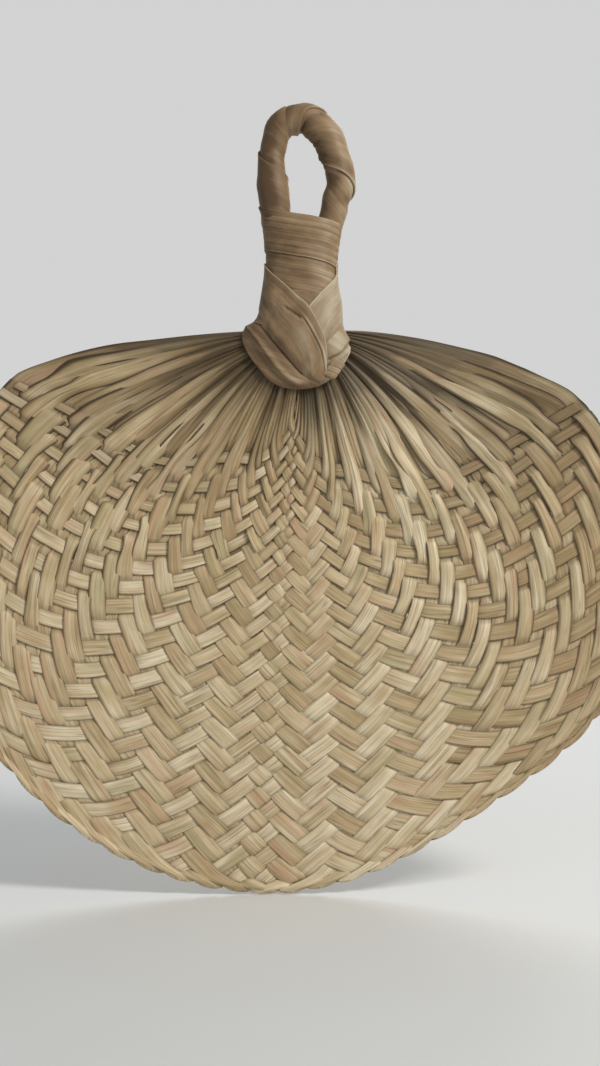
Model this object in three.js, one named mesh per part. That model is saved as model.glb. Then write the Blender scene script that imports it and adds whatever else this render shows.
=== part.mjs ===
// Hand fan plaited from dried leaf strips, with a wrapped handle and a hanging loop.
// Millimetres, +Z up. X runs to the right as the front is seen, and the front faces -Y.
// The origin is the inside top of the hanging loop, where a peg carries the fan.
import * as THREE from 'three'

const DEGREE = Math.PI / 180

// Leaf strips of the blade
const LEAVES_PER_SIDE = 23 // leaves that leave the throat on each side
const LEAF_THICKNESS = 0.7
const LEAF_COVER = 0.83 // share of the spacing that a leaf fills
const LAYER_GAP = 0.42 // clearance between two leaves where they cross
const GATHERED_THICKNESS = 1.8 // a leaf pleated at the throat
const GATHER_STEPS = 4 // sections between the throat and the first crossing, at the middle line
const SHOULDER_STEPS = 8 // and at the shoulders
const GATHER_LEAVE = 0.8 // how far a leaf holds its direction out of the throat
const GATHER_ARRIVE = 0.35 // and back from the first crossing
const LEVEL_SHARE = 0.25 // share of that stretch by which a leaf has reached its first level
const PLEAT_SHARE = 0.3 // and by which its pleat has opened out
const BOW_LIMIT = 0.3 // a float that bows more than this share of the space beside it gets a middle section

// Blade, measured from the gather point inside the throat
const GATHER_DROP = 100 // from the loop's seat down to the gather point
const BLADE_LENGTH = 285 // to the tip
const FIRST_CROSSING = 30 // to the topmost crossing on the middle line
const SHOULDER_REACH = 150 // to the upper corner of the side edge
const SHOULDER_ANGLE = 78 * DEGREE // of that corner, from straight down
const MIDDLE_ANGLE = 70 * DEGREE // the same, if the spread at the middle line held all the way
const SIDE_TUCK = 131 // how far the rows are drawn up towards the sides
const EDGE_TURN = 1.35 // where the lower edge turns the leaves back, as a share of the leaf count
const DRAWN_IN = 12 // the right half of the lower edge is pulled in by this much
const DRAWN_ANGLE = -20 * DEGREE // where it is pulled in most
const DRAWN_SPREAD = 15 * DEGREE // and how far along the edge
const THROAT_ANGLE = 88 * DEGREE // of the outermost leaf as it leaves the throat
const LEAN = 4.5 * DEGREE // the tip hangs a little to the left of the handle
const CUP_ACROSS = 950 // radius of the blade's hollow, side to side
const CUP_ALONG = 8000 // and along its length

// Handle
const CLEARANCE = 0.3 // between pieces that touch
const WRAP_THICKNESS = 1.1 // broad wrapping leaf
const TURN_GAP = 0.5 // between shingled turns of one leaf
const TUBE_RADIUS = 7 // of the wrapped loop
const LOOP_HALF_SPAN = 17 // middle of the loop to the middle of a leg
const LOOP_WRAP_TURNS = 7
const LOOP_WRAP_WIDTH = 20
const LOOP_WRAP_THICKNESS = 0.8 // the narrower leaf round the loop and the neck
const LOOP_WRAP_FOOT = 43 // from the seat down to where the loop's wrapping stops
const FOOT_HALF_SPAN = 10.5 // the same as LOOP_HALF_SPAN, where the legs meet the stem
const FOOT_DROP = 66 // from the seat down to the feet of the loop
const NECK_DROP = 43.5 // from the seat down to the upper edge of the neck's turns
const NECK_TURNS = 2
const NECK_BAND_WIDTH = 12
const STEM_HALF_WIDTH = 16.5
const STEM_HALF_DEPTH = 8.5
const CORE_BASE_RADIUS = 21.5 // round base of the bundle, about the gather point
const CORE_BASE_HALF_DEPTH = 3.2
const LASHING_DIAMETER = 2
const LASHING_PITCH = 2.6
const LASHING_TURNS = 4
const LASHING_DROP = 71.5 // from the seat down to the first turn
const SKIRT_DROP = 59 // from the seat down to the skirt's upper edge
const SKIRT_SPREAD_DROP = 84 // to where it starts to spread
const SKIRT_SIDE_DROP = 98.5 // to its edge at the sides, just over the shoulder leaves
const SKIRT_FRONT_DROP = 131 // to its edge at front and back
const MOUTH_HALF_WIDTH = 30
const MOUTH_HALF_DEPTH = 5.5
const MOUTH_SLOT = 0.25 // share of the skirt's depth that stays open at each side
const LAPEL_WIDTH = 20
const LAPEL_STANDOFF = 1.3 // a folded leaf does not lie quite flat on the one below
const LAPEL_TOP_DROP = 72 // the lapels' middle line, from the back of the stem
const LAPEL_END_DROP = 105 // to the crossed front
const LAPEL_SWEEP = 205 * DEGREE
const TUCKED_WIDTH = 11
const TUCKED_DROP = 113
const TUCKED_START = 298 * DEGREE
const TUCKED_SWEEP = 20 * DEGREE

const LEAF_TONES = ['#cbb68f', '#bfa67a', '#d2c09b', '#b4a074', '#c4ad85']
const WRAP_TONE = '#a68f6b'
const BUNDLE_TONE = '#b39a6e'
const CORD_TONE = '#8f7a55'

// Values worked out from the sizes above
const LAST_LEAF = LEAVES_PER_SIDE - 1
const TURN_SUM = Math.round(EDGE_TURN * LEAVES_PER_SIDE)
const ROW_GROWTH = (BLADE_LENGTH - FIRST_CROSSING) / EDGE_TURN
const CORNER_RISE = SHOULDER_REACH - FIRST_CROSSING - ROW_GROWTH + SIDE_TUCK
const HALF_COVER = LEAF_COVER / 2
const HALF_SPACE = (1 - LEAF_COVER) / 2
const LAYER = (LEAF_THICKNESS + LAYER_GAP) / 2
const QUARTER = 0.25 // the two families are set half a leaf apart
const SHINGLE = LOOP_WRAP_THICKNESS + TURN_GAP
const SKIRT_PAD = CLEARANCE + LASHING_DIAMETER + CLEARANCE + WRAP_THICKNESS

const fan = new THREE.Group()
const materials = new Map()

function leafMaterial(colour, roughness) {
  if (!materials.has(colour)) {
    materials.set(colour, new THREE.MeshStandardMaterial({ color: colour, roughness, metalness: 0 }))
  }
  return materials.get(colour)
}

function addPiece(name, geometry, colour, roughness = 0.75) {
  const piece = new THREE.Mesh(geometry, leafMaterial(colour, roughness))
  piece.name = name
  fan.add(piece)
}

// Closed skin over a row of rings. Each ring has an even number of points, and the
// two ends are closed by a ladder between the two halves of the ring.
function skin(rings) {
  const size = rings[0].length
  const points = rings.flat()
  const faces = []
  for (let k = 0; k + 1 < rings.length; k += 1) {
    for (let m = 0; m < size; m += 1) {
      const next = (m + 1) % size
      const a = k * size + m
      const b = k * size + next
      faces.push([a, b, b + size], [a, b + size, a + size])
    }
  }
  const last = (rings.length - 1) * size
  for (let m = 0; m + 1 < size / 2; m += 1) {
    const far = size - 1 - m
    faces.push([m, far, m + 1], [m + 1, far, far - 1])
    faces.push([last + m, last + m + 1, last + far], [last + m + 1, last + far - 1, last + far])
  }
  return solid(points, faces)
}

// Closed wall between an outer and an inner row of rings.
function wall(outer, inner) {
  const size = outer[0].length
  const points = [...outer.flat(), ...inner.flat()]
  const offset = outer.length * size
  const last = (outer.length - 1) * size
  const faces = []
  for (let m = 0; m < size; m += 1) {
    const next = (m + 1) % size
    for (let k = 0; k + 1 < outer.length; k += 1) {
      const a = k * size + m
      const b = k * size + next
      faces.push([a, b, b + size], [a, b + size, a + size])
      faces.push([offset + a, offset + b + size, offset + b])
      faces.push([offset + a, offset + a + size, offset + b + size])
    }
    faces.push([m, offset + m, offset + next], [m, offset + next, next])
    faces.push([last + m, offset + last + next, offset + last + m], [last + m, last + next, offset + last + next])
  }
  return solid(points, faces)
}

function solid(points, faces) {
  let volume = 0
  const cross = new THREE.Vector3()
  for (const [a, b, c] of faces) {
    volume += points[a].dot(cross.crossVectors(points[b], points[c]))
  }
  const index = faces.flatMap(([a, b, c]) => (volume > 0 ? [a, b, c] : [a, c, b]))
  const geometry = new THREE.BufferGeometry().setFromPoints(points)
  geometry.setIndex(index)
  geometry.computeVertexNormals()
  return geometry
}

// Blade: where a left leaf and a right leaf, given by their places in the two families, cross.
function weave(left, right) {
  const a = (left + QUARTER) / LEAVES_PER_SIDE
  const b = (right - QUARTER) / LEAVES_PER_SIDE
  const across = a - b
  const spread = MIDDLE_ANGLE * across + (SHOULDER_ANGLE - MIDDLE_ANGLE) * across ** 3
  const reach = FIRST_CROSSING + ROW_GROWTH * (a + b) - SIDE_TUCK * across ** 2 + CORNER_RISE * across ** 6
  const angle = lean(spread)
  const drawn = Math.exp(-(((angle - DRAWN_ANGLE) / DRAWN_SPREAD) ** 2)) * ((a + b) / EDGE_TURN) ** 2
  return polar(reach - DRAWN_IN * drawn, angle)
}

// A point of the blade by its distance from the gather point and its angle from straight down.
function polar(reach, angle) {
  return new THREE.Vector2(-reach * Math.sin(angle), -GATHER_DROP - reach * Math.cos(angle))
}

// Lifts a point of the outline on to the hollow blade. A negative lift is towards the front.
function onBlade(flat, lift) {
  const along = flat.x ** 2 + (flat.y + GATHER_DROP) ** 2
  const hollow = flat.x ** 2 / (2 * CUP_ACROSS) + along / (2 * CUP_ALONG)
  return new THREE.Vector3(flat.x, lift - hollow, flat.y)
}

// Two over two, with the herringbone line where the two middle columns are single.
function leftLeafOver(left, right) {
  const column = left - right
  if (column >= 1) return (column - 1) % 4 >= 2
  if (column <= -2) return (-column - 2) % 4 < 2
  return column === 0
}

// One leg of a leaf: place(offset, crossing) is a point on it, and throat(offset) where it starts.
function leftLeg(index) {
  return {
    index,
    place: (offset, crossing) => weave(index + offset, crossing),
    throat: (offset) => lean(throatAngle(index + offset)),
    lift: (crossing) => (leftLeafOver(index, crossing) ? -LAYER : LAYER),
  }
}

function rightLeg(index) {
  return {
    index,
    place: (offset, crossing) => weave(crossing, index + offset),
    throat: (offset) => lean(-throatAngle(index + offset)),
    lift: (crossing) => (leftLeafOver(crossing, index) ? LAYER : -LAYER),
  }
}

function throatAngle(index) {
  return (THROAT_ANGLE * (index + 0.5)) / LEAVES_PER_SIDE
}

function lean(angle) {
  return angle + LEAN * Math.cos(angle)
}

// A station is a cut across a leaf: its two edges, its lift off the blade and its thickness.
function station(leg, crossing, lift) {
  return {
    low: leg.place(-HALF_COVER, crossing),
    high: leg.place(HALF_COVER, crossing),
    lift,
    thickness: LEAF_THICKNESS,
  }
}

// The loose stretch from the bundle's base to the first crossing, pleated towards the throat.
function gatherStations(leg) {
  const entry = -HALF_COVER
  const edge = (offset, share) => {
    const start = polar(CORE_BASE_RADIUS + CLEARANCE, leg.throat(offset))
    const end = leg.place(offset, entry)
    const before = leg.place(offset, entry - HALF_COVER)
    const span = start.distanceTo(end)
    const leave = polar(1, leg.throat(offset)).sub(polar(0, 0)).multiplyScalar(GATHER_LEAVE * span)
    const arrive = end.clone().sub(before).setLength(GATHER_ARRIVE * span)
    return hermite(start, leave, end, arrive, share)
  }
  const stations = []
  const steps = Math.round(GATHER_STEPS + ((SHOULDER_STEPS - GATHER_STEPS) * leg.index) / LAST_LEAF)
  for (let k = 0; k < steps; k += 1) {
    const share = k / steps
    stations.push({
      low: edge(-HALF_COVER, share),
      high: edge(HALF_COVER, share),
      lift: leg.lift(0) * Math.min(1, share / LEVEL_SHARE),
      thickness: LEAF_THICKNESS + (GATHERED_THICKNESS - LEAF_THICKNESS) * Math.max(0, 1 - share / PLEAT_SHARE) ** 2,
    })
  }
  return stations
}

function hermite(start, leave, end, arrive, t) {
  const point = start.clone().multiplyScalar(2 * t ** 3 - 3 * t ** 2 + 1)
  point.addScaledVector(leave, t ** 3 - 2 * t ** 2 + t)
  point.addScaledVector(end, 3 * t ** 2 - 2 * t ** 3)
  return point.addScaledVector(arrive, t ** 3 - t ** 2)
}

// Floats over and under the crossing leaves, up to and with the last crossing.
// A leaf changes level only in the space between two crossing leaves.
function weaveStations(leg, last, exit) {
  const stations = []
  let first = 0
  for (let crossing = 0; crossing <= last; crossing += 1) {
    const lift = leg.lift(crossing)
    if (crossing < last && leg.lift(crossing + 1) === lift) continue
    const enter = first === last ? first - HALF_COVER - HALF_SPACE / 2 : first - HALF_COVER
    const leave = crossing === last ? exit : crossing + HALF_COVER
    stations.push(station(leg, enter, lift))
    if (bow(leg, enter, leave) > BOW_LIMIT) stations.push(station(leg, (enter + leave) / 2, lift))
    if (crossing < last) stations.push(station(leg, leave, lift))
    first = crossing + 1
  }
  return stations
}

function bow(leg, enter, leave) {
  const middle = (enter + leave) / 2
  const chord = leg.place(0, enter).add(leg.place(0, leave)).multiplyScalar(0.5)
  const space = leg.place(HALF_SPACE, middle).distanceTo(leg.place(-HALF_SPACE, middle))
  return chord.distanceTo(leg.place(0, middle)) / space
}

// Ring of four points: the leaf's two edges on its two faces. A turned leaf shows its other face.
function leafRing({ low, high, lift, thickness }, swapped = false, turned = false) {
  const half = (turned ? -thickness : thickness) / 2
  const [first, second] = swapped ? [high, low] : [low, high]
  return [
    onBlade(first, lift - half),
    onBlade(second, lift - half),
    onBlade(second, lift + half),
    onBlade(first, lift + half),
  ]
}

// Middle ring of a turn round an edge, bulging outwards between the two levels.
function bendRing(low, high, outward, fromLift, toLift) {
  const bulge = Math.abs(toLift - fromLift) / 2
  const half = (Math.sign(toLift - fromLift) * LEAF_THICKNESS) / 2
  const middle = (fromLift + toLift) / 2
  const shifted = (point, distance) => onBlade(point.clone().addScaledVector(outward, distance), middle)
  return [
    shifted(low, bulge + half),
    shifted(high, bulge + half),
    shifted(high, bulge - half),
    shifted(low, bulge - half),
  ]
}

// Leaf that ends at the opposite side, hemmed round the outermost leaf there.
function hemmedLeaf(leg) {
  const exit = LAST_LEAF + HALF_COVER + HALF_SPACE
  const lift = leg.lift(LAST_LEAF)
  const tail = -3 * lift
  const edge = station(leg, exit, lift)
  const outward = leg.place(0, exit).sub(leg.place(0, LAST_LEAF)).normalize()
  const back = station(leg, exit, tail)
  const end = station(leg, LAST_LEAF - HALF_COVER, tail)
  const rings = [...gatherStations(leg), ...weaveStations(leg, LAST_LEAF, exit), edge].map((cut) => leafRing(cut))
  rings.push(bendRing(edge.low, edge.high, outward, lift, tail))
  rings.push(leafRing(back, false, true), leafRing(end, false, true))
  return skin(rings)
}

// Leaf that comes down on the left, folds over the lower edge and goes back up on the right.
function foldedLeaf(index) {
  const partner = TURN_SUM - index
  const left = leftLeg(index)
  const right = rightLeg(partner)
  const lift = left.lift(partner)
  const low = weave(index - HALF_COVER, partner + HALF_COVER)
  const high = weave(index + HALF_COVER, partner - HALF_COVER)
  const fold = { low, high, lift, thickness: LEAF_THICKNESS }
  const outward = low.clone().add(high).multiplyScalar(0.5).sub(polar(0, 0)).normalize()
  const down = [...gatherStations(left), ...weaveStations(left, partner, partner), fold]
  const up = [...gatherStations(right), ...weaveStations(right, index, index)]
  const rings = down.map((cut) => leafRing(cut))
  rings.push(bendRing(low, high, outward, lift, -lift))
  rings.push(leafRing({ ...fold, lift: -lift }, false, true))
  rings.push(...up.reverse().map((cut) => leafRing(cut, true, true)))
  return skin(rings)
}

function addBlade() {
  const firstFolded = TURN_SUM - LAST_LEAF
  const number = (count) => String(count).padStart(2, '0')
  const tone = (count) => LEAF_TONES[count % LEAF_TONES.length]
  for (let index = 0; index < firstFolded; index += 1) {
    addPiece(`left_leaf_${number(index + 1)}`, hemmedLeaf(leftLeg(index)), tone(index))
    addPiece(`right_leaf_${number(index + 1)}`, hemmedLeaf(rightLeg(index)), tone(index + 2))
  }
  for (let index = firstFolded; index <= LAST_LEAF; index += 1) {
    addPiece(`folded_leaf_${number(index - firstFolded + 1)}`, foldedLeaf(index), tone(2 * index))
  }
}

// Handle: the bent middle line of the loop, from its left foot over the top to its right foot.
const ARCH_HEIGHT = TUBE_RADIUS - LOOP_HALF_SPAN
const LEG_HEIGHT = ARCH_HEIGHT + FOOT_DROP
const LOOP_WRAP_LENGTH = 2 * (ARCH_HEIGHT + LOOP_WRAP_FOOT) + Math.PI * LOOP_HALF_SPAN
const LOOP_WRAP_PITCH = (LOOP_WRAP_LENGTH - LOOP_WRAP_WIDTH) / LOOP_WRAP_TURNS
const LOOP_WRAP_RISE = (SHINGLE * LOOP_WRAP_WIDTH) / LOOP_WRAP_PITCH
const LOOP_CORE_RADIUS = TUBE_RADIUS - LOOP_WRAP_THICKNESS - LOOP_WRAP_RISE - 2 * CLEARANCE

function halfSpan(z) {
  const share = (z + FOOT_DROP) / (FOOT_DROP - LOOP_WRAP_FOOT)
  return FOOT_HALF_SPAN + (LOOP_HALF_SPAN - FOOT_HALF_SPAN) * THREE.MathUtils.smoothstep(share, 0, 1)
}

function loopPoint(length) {
  const arch = Math.PI * LOOP_HALF_SPAN
  if (length < LEG_HEIGHT) {
    const z = length - FOOT_DROP
    return new THREE.Vector3(-halfSpan(z), 0, z)
  }
  if (length < LEG_HEIGHT + arch) {
    const turn = (length - LEG_HEIGHT) / LOOP_HALF_SPAN
    const x = -LOOP_HALF_SPAN * Math.cos(turn)
    return new THREE.Vector3(x, 0, ARCH_HEIGHT + LOOP_HALF_SPAN * Math.sin(turn))
  }
  const z = ARCH_HEIGHT - (length - LEG_HEIGHT - arch)
  return new THREE.Vector3(halfSpan(z), 0, z)
}

// Point on a round skin of the given radius about the loop's middle line.
function aroundLoop(angle, length, radius) {
  const step = 0.05
  const along = loopPoint(length + step).sub(loopPoint(length - step)).normalize()
  const side = new THREE.Vector3(-along.z, 0, along.x)
  const point = loopPoint(length).addScaledVector(side, radius * Math.cos(angle))
  return point.add(new THREE.Vector3(0, radius * Math.sin(angle), 0))
}

function addLoop() {
  const sides = 8
  const steps = 24
  const whole = 2 * LEG_HEIGHT + Math.PI * LOOP_HALF_SPAN
  const rings = []
  for (let k = 0; k <= steps; k += 1) {
    const ring = []
    for (let m = 0; m < sides; m += 1) {
      ring.push(aroundLoop((2 * Math.PI * m) / sides, (whole * k) / steps, LOOP_CORE_RADIUS))
    }
    rings.push(ring)
  }
  addPiece('loop_core', skin(rings), BUNDLE_TONE)

  const start = (whole - LOOP_WRAP_LENGTH + LOOP_WRAP_WIDTH) / 2
  const inside = LOOP_CORE_RADIUS + 2 * CLEARANCE
  const surface = (angle, length, offset) => aroundLoop(angle, length, inside + offset)
  const wrap = winding(surface, {
    turns: LOOP_WRAP_TURNS, stepsPerTurn: 16, startAngle: Math.PI, hand: 1, start, pitch: LOOP_WRAP_PITCH,
    width: LOOP_WRAP_WIDTH, thickness: LOOP_WRAP_THICKNESS, parts: 3, rise: LOOP_WRAP_RISE, lift: 0,
  })
  addPiece('loop_wrap', skin(wrap.rings), WRAP_TONE, 0.6)
  report('loop_wrap', wrap)
}

// A leaf wound round a surface. From the second turn on, its near edge lies on the turn before.
function winding(surface, shape) {
  const { turns, stepsPerTurn, startAngle, hand, start, pitch, width, thickness, parts, rise, lift } = shape
  const rings = []
  for (let k = 0; k <= Math.round(turns * stepsPerTurn); k += 1) {
    const turn = k / stepsPerTurn
    const angle = startAngle + hand * 2 * Math.PI * turn
    const inner = []
    const outer = []
    for (let m = 0; m <= parts; m += 1) {
      const share = m / parts
      const place = start + pitch * turn + width * (share - 0.5)
      const offset = lift + rise * (1 - share) * Math.min(1, turn)
      inner.push(surface(angle, place, offset))
      outer.push(surface(angle, place, offset + thickness))
    }
    rings.push([...inner, ...outer.reverse()])
  }
  return { rings, apart: Math.floor(stepsPerTurn * 0.6) }
}

// Least gap of a winding to itself, measured on the points of its sections.
function report(name, { rings, apart }) {
  let least = Infinity
  for (let k = 0; k < rings.length; k += 1) {
    for (let other = k + apart; other < rings.length; other += 1) {
      for (const point of rings[k]) {
        for (const far of rings[other]) least = Math.min(least, point.distanceTo(far))
      }
    }
  }
  console.log(`${name}: least gap to itself ${least.toFixed(2)} mm`)
}

// Level turns of leaf that close the eye of the loop, round both of its legs.
function addNeckBand() {
  const pitch = (FOOT_DROP - NECK_DROP - NECK_BAND_WIDTH) / NECK_TURNS
  const surface = (angle, drop, offset) => {
    const flat = stadium(angle / (2 * Math.PI), halfSpan(-drop), LOOP_CORE_RADIUS + 2 * CLEARANCE + offset)
    return new THREE.Vector3(flat.x, flat.y, -drop)
  }
  const band = winding(surface, {
    turns: NECK_TURNS, stepsPerTurn: 20, startAngle: 0.3 * 2 * Math.PI, hand: 1,
    start: NECK_DROP + NECK_BAND_WIDTH / 2, pitch,
    width: NECK_BAND_WIDTH, thickness: LOOP_WRAP_THICKNESS, parts: 2, rise: (SHINGLE * NECK_BAND_WIDTH) / pitch, lift: 0,
  })
  addPiece('neck_band', skin(band.rings), WRAP_TONE, 0.6)
  report('neck_band', band)
}

// Outline round two equal circles: half round, straight, half round, straight.
function stadium(turn, centre, radius) {
  const rounds = 0.3 // share of the outline's steps on each round end
  const share = turn - Math.floor(turn)
  const half = share % 0.5
  const sign = share < 0.5 ? 1 : -1
  if (half < rounds) {
    const angle = (half / rounds - 0.5) * Math.PI
    return new THREE.Vector2(sign * (centre + radius * Math.cos(angle)), sign * radius * Math.sin(angle))
  }
  const straight = (half - rounds) / (0.5 - rounds)
  return new THREE.Vector2(sign * centre * (1 - 2 * straight), sign * radius)
}

// Bundle of gathered leaf ends: an oval stem that spreads into a flat round base.
function coreHalfWidth(z) {
  if (z < -GATHER_DROP) return Math.sqrt(Math.max(0, CORE_BASE_RADIUS ** 2 - (z + GATHER_DROP) ** 2))
  const share = (-SKIRT_SPREAD_DROP - z) / (GATHER_DROP - SKIRT_SPREAD_DROP)
  return STEM_HALF_WIDTH + (CORE_BASE_RADIUS - STEM_HALF_WIDTH) * THREE.MathUtils.smoothstep(share, 0, 1)
}

function coreHalfDepth(z) {
  const bottom = GATHER_DROP + CORE_BASE_RADIUS
  const share = (-SKIRT_SPREAD_DROP - z) / (bottom - SKIRT_SPREAD_DROP)
  return STEM_HALF_DEPTH + (CORE_BASE_HALF_DEPTH - STEM_HALF_DEPTH) * THREE.MathUtils.smoothstep(share, 0, 1)
}

function oval(halfWidth, halfDepth, z, sides) {
  const ring = []
  for (let m = 0; m < sides; m += 1) {
    const angle = (2 * Math.PI * m) / sides
    ring.push(new THREE.Vector3(halfWidth * Math.cos(angle), halfDepth * Math.sin(angle), z))
  }
  return ring
}

function addStem() {
  const sides = 16
  const rows = 11
  const top = -(FOOT_DROP + CLEARANCE)
  const bottom = -(GATHER_DROP + CORE_BASE_RADIUS)
  const rings = []
  for (let k = 0; k <= rows; k += 1) {
    const share = Math.sin((k / (rows + 0.3)) * (Math.PI / 2))
    const z = top + (bottom - top) * share
    rings.push(oval(coreHalfWidth(z), coreHalfDepth(z), z, sides))
  }
  addPiece('stem_core', skin(rings), BUNDLE_TONE)

  const stepsPerTurn = 18
  const cordSides = 6
  const radius = LASHING_DIAMETER / 2
  const turns = []
  for (let k = 0; k <= LASHING_TURNS * stepsPerTurn; k += 1) {
    const angle = (2 * Math.PI * k) / stepsPerTurn
    const z = -LASHING_DROP - (LASHING_PITCH * k) / stepsPerTurn
    const ring = []
    for (let m = 0; m < cordSides; m += 1) {
      const around = (2 * Math.PI * m) / cordSides
      const out = CLEARANCE + radius + radius * Math.cos(around)
      const x = (coreHalfWidth(z) + out) * Math.cos(angle)
      const y = (coreHalfDepth(z) + out) * Math.sin(angle)
      ring.push(new THREE.Vector3(x, y, z + radius * Math.sin(around)))
    }
    turns.push(ring)
  }
  addPiece('throat_lashing', skin(turns), CORD_TONE, 0.85)
  report('throat_lashing', { rings: turns, apart: stepsPerTurn / 2 })
}

// Broad leaf folded round the throat. Its edge drops to a rounded tongue at front and back.
function skirtHalfWidth(z) {
  const stem = STEM_HALF_WIDTH + SKIRT_PAD
  const share = (-SKIRT_SPREAD_DROP - z) / (SKIRT_SIDE_DROP - SKIRT_SPREAD_DROP)
  return stem + (MOUTH_HALF_WIDTH - stem) * THREE.MathUtils.smoothstep(share, 0, 1)
}

function skirtHalfDepth(z) {
  const stem = STEM_HALF_DEPTH + SKIRT_PAD
  const share = (-SKIRT_SPREAD_DROP - z) / (SKIRT_FRONT_DROP - SKIRT_SPREAD_DROP)
  return stem + (MOUTH_HALF_DEPTH - stem) * THREE.MathUtils.smoothstep(share, 0, 1)
}

function aroundSkirt(angle, drop, offset) {
  const x = (skirtHalfWidth(-drop) + offset) * Math.cos(angle)
  const y = (skirtHalfDepth(-drop) + offset) * Math.sin(angle)
  return new THREE.Vector3(x, y, -drop)
}

function skirtEdge(angle) {
  const share = Math.max(0, (Math.abs(Math.sin(angle)) - MOUTH_SLOT) / (1 - MOUTH_SLOT))
  const roundness = 0.8
  return SKIRT_SIDE_DROP + (SKIRT_FRONT_DROP - SKIRT_SIDE_DROP) * share ** roundness
}

function addSkirt() {
  const sides = 28
  const rows = 12
  const outer = []
  const inner = []
  for (let k = 0; k <= rows; k += 1) {
    const outerRing = []
    const innerRing = []
    for (let m = 0; m < sides; m += 1) {
      const angle = (2 * Math.PI * m) / sides
      const drop = SKIRT_DROP + ((skirtEdge(angle) - SKIRT_DROP) * k) / rows
      outerRing.push(aroundSkirt(angle, drop, 0))
      innerRing.push(aroundSkirt(angle, drop, -WRAP_THICKNESS))
    }
    outer.push(outerRing)
    inner.push(innerRing)
  }
  addPiece('throat_skirt', wall(outer, inner), WRAP_TONE, 0.6)
}

// A lapel starts behind the stem, comes round one side and crosses the front. The left one lies on top.
function addLapels() {
  const drop = LAPEL_END_DROP - LAPEL_TOP_DROP
  const turns = LAPEL_SWEEP / (2 * Math.PI)
  const lapel = (hand, lift) => winding(aroundSkirt, {
    turns, stepsPerTurn: 28, startAngle: Math.PI / 2, hand, start: LAPEL_TOP_DROP, pitch: drop / turns,
    width: LAPEL_WIDTH, thickness: WRAP_THICKNESS, parts: 6, rise: 0, lift,
  })
  addPiece('right_lapel', skin(lapel(-1, LAPEL_STANDOFF).rings), WRAP_TONE, 0.6)
  addPiece('left_lapel', skin(lapel(1, LAPEL_STANDOFF + WRAP_THICKNESS + CLEARANCE).rings), WRAP_TONE, 0.6)

  const tucked = winding(aroundSkirt, {
    turns: TUCKED_SWEEP / (2 * Math.PI), stepsPerTurn: 54, startAngle: TUCKED_START, hand: 1,
    start: TUCKED_DROP, pitch: 0, width: TUCKED_WIDTH, thickness: WRAP_THICKNESS, parts: 1, rise: 0, lift: CLEARANCE,
  })
  addPiece('tucked_end', skin(tucked.rings), CORD_TONE)
}

addBlade()
addLoop()
addNeckBand()
addStem()
addSkirt()
addLapels()

export default fan
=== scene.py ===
"""A hand fan plaited on the bias from dried leaf strips, with a leaf-wrapped handle and hanging loop."""
import math
from types import SimpleNamespace

import bpy
import numpy as np
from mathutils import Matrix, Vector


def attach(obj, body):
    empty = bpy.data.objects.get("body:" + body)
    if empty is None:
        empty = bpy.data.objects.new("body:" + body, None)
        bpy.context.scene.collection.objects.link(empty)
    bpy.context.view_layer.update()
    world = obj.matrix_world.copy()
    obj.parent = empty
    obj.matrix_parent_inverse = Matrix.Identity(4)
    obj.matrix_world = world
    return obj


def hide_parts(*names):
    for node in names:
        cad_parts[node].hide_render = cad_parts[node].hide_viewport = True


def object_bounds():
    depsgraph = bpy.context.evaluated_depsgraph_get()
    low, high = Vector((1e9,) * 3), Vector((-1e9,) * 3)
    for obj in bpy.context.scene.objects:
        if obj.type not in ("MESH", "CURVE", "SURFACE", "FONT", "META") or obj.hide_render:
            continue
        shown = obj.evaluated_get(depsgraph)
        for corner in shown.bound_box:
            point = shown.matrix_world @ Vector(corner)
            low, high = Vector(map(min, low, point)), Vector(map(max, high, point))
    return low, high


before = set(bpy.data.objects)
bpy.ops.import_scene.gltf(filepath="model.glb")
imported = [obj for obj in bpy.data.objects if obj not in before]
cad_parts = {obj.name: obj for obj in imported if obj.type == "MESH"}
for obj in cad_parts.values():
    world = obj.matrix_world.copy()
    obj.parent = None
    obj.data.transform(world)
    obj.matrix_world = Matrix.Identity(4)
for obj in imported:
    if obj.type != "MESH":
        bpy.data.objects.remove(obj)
CAD_BOX = [[float(value) for value in corner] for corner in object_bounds()]

bl_info = {
    "name": "Plaited leaf fan",
    "version": (1, 0, 0),
    "blender": (4, 5, 0),
    "location": "View3D > Sidebar > Fan",
    "description": "Builds the plaited blade, the wrapped handle and the studio of a leaf fan",
    "category": "Add Mesh",
}

MM = 0.001
DEGREE = math.pi / 180

# The blade, in millimetres from the inside top of the loop; the gather point is straight below it.
GATHER_DROP = 100.0
THROAT_REACH = 22.5
THROAT_ANGLE = 88 * DEGREE
THROAT_LEAVE = 0.8  # how far a leaf holds its direction out of the throat, and back from the weave
THROAT_ARRIVE = 0.35
FIRST_CROSSING = 50.0
BLADE_LENGTH = 285.0
SHOULDER_REACH = 150.0
MIDDLE_DEGREES = 70  # spread of the whole side, if the spread at the middle line held all the way
EDGE_DEGREES = 8  # what the sides add to it
ROW_CURVE = 0.25
SIDE_TUCK = 131.0
SPREAD_SINK = 0.26  # how much narrower the spread gets between these depths
SINK_START = 0.45
SINK_END = 1.45
ROW_SLIDE = 0.45
ROW_LIFT = 11.0  # the first rows are drawn up this far, most at this share of the way aside
LIFT_ROWS = 1.1
LIFT_ASIDE = 0.37
LIFT_SPREAD = 0.17
TURN_HOLD = 0.5
HALF_OFFSET = 0.25  # the two families are set half a leaf apart
MIDDLE_SOFTNESS = 0.0004
LEAN = 4.5 * DEGREE
DRAWN_IN = 12.0
DRAWN_ANGLE = -20 * DEGREE
DRAWN_SPREAD = 15 * DEGREE
CUP_ACROSS = 950.0
CUP_ALONG = 8000.0

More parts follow.
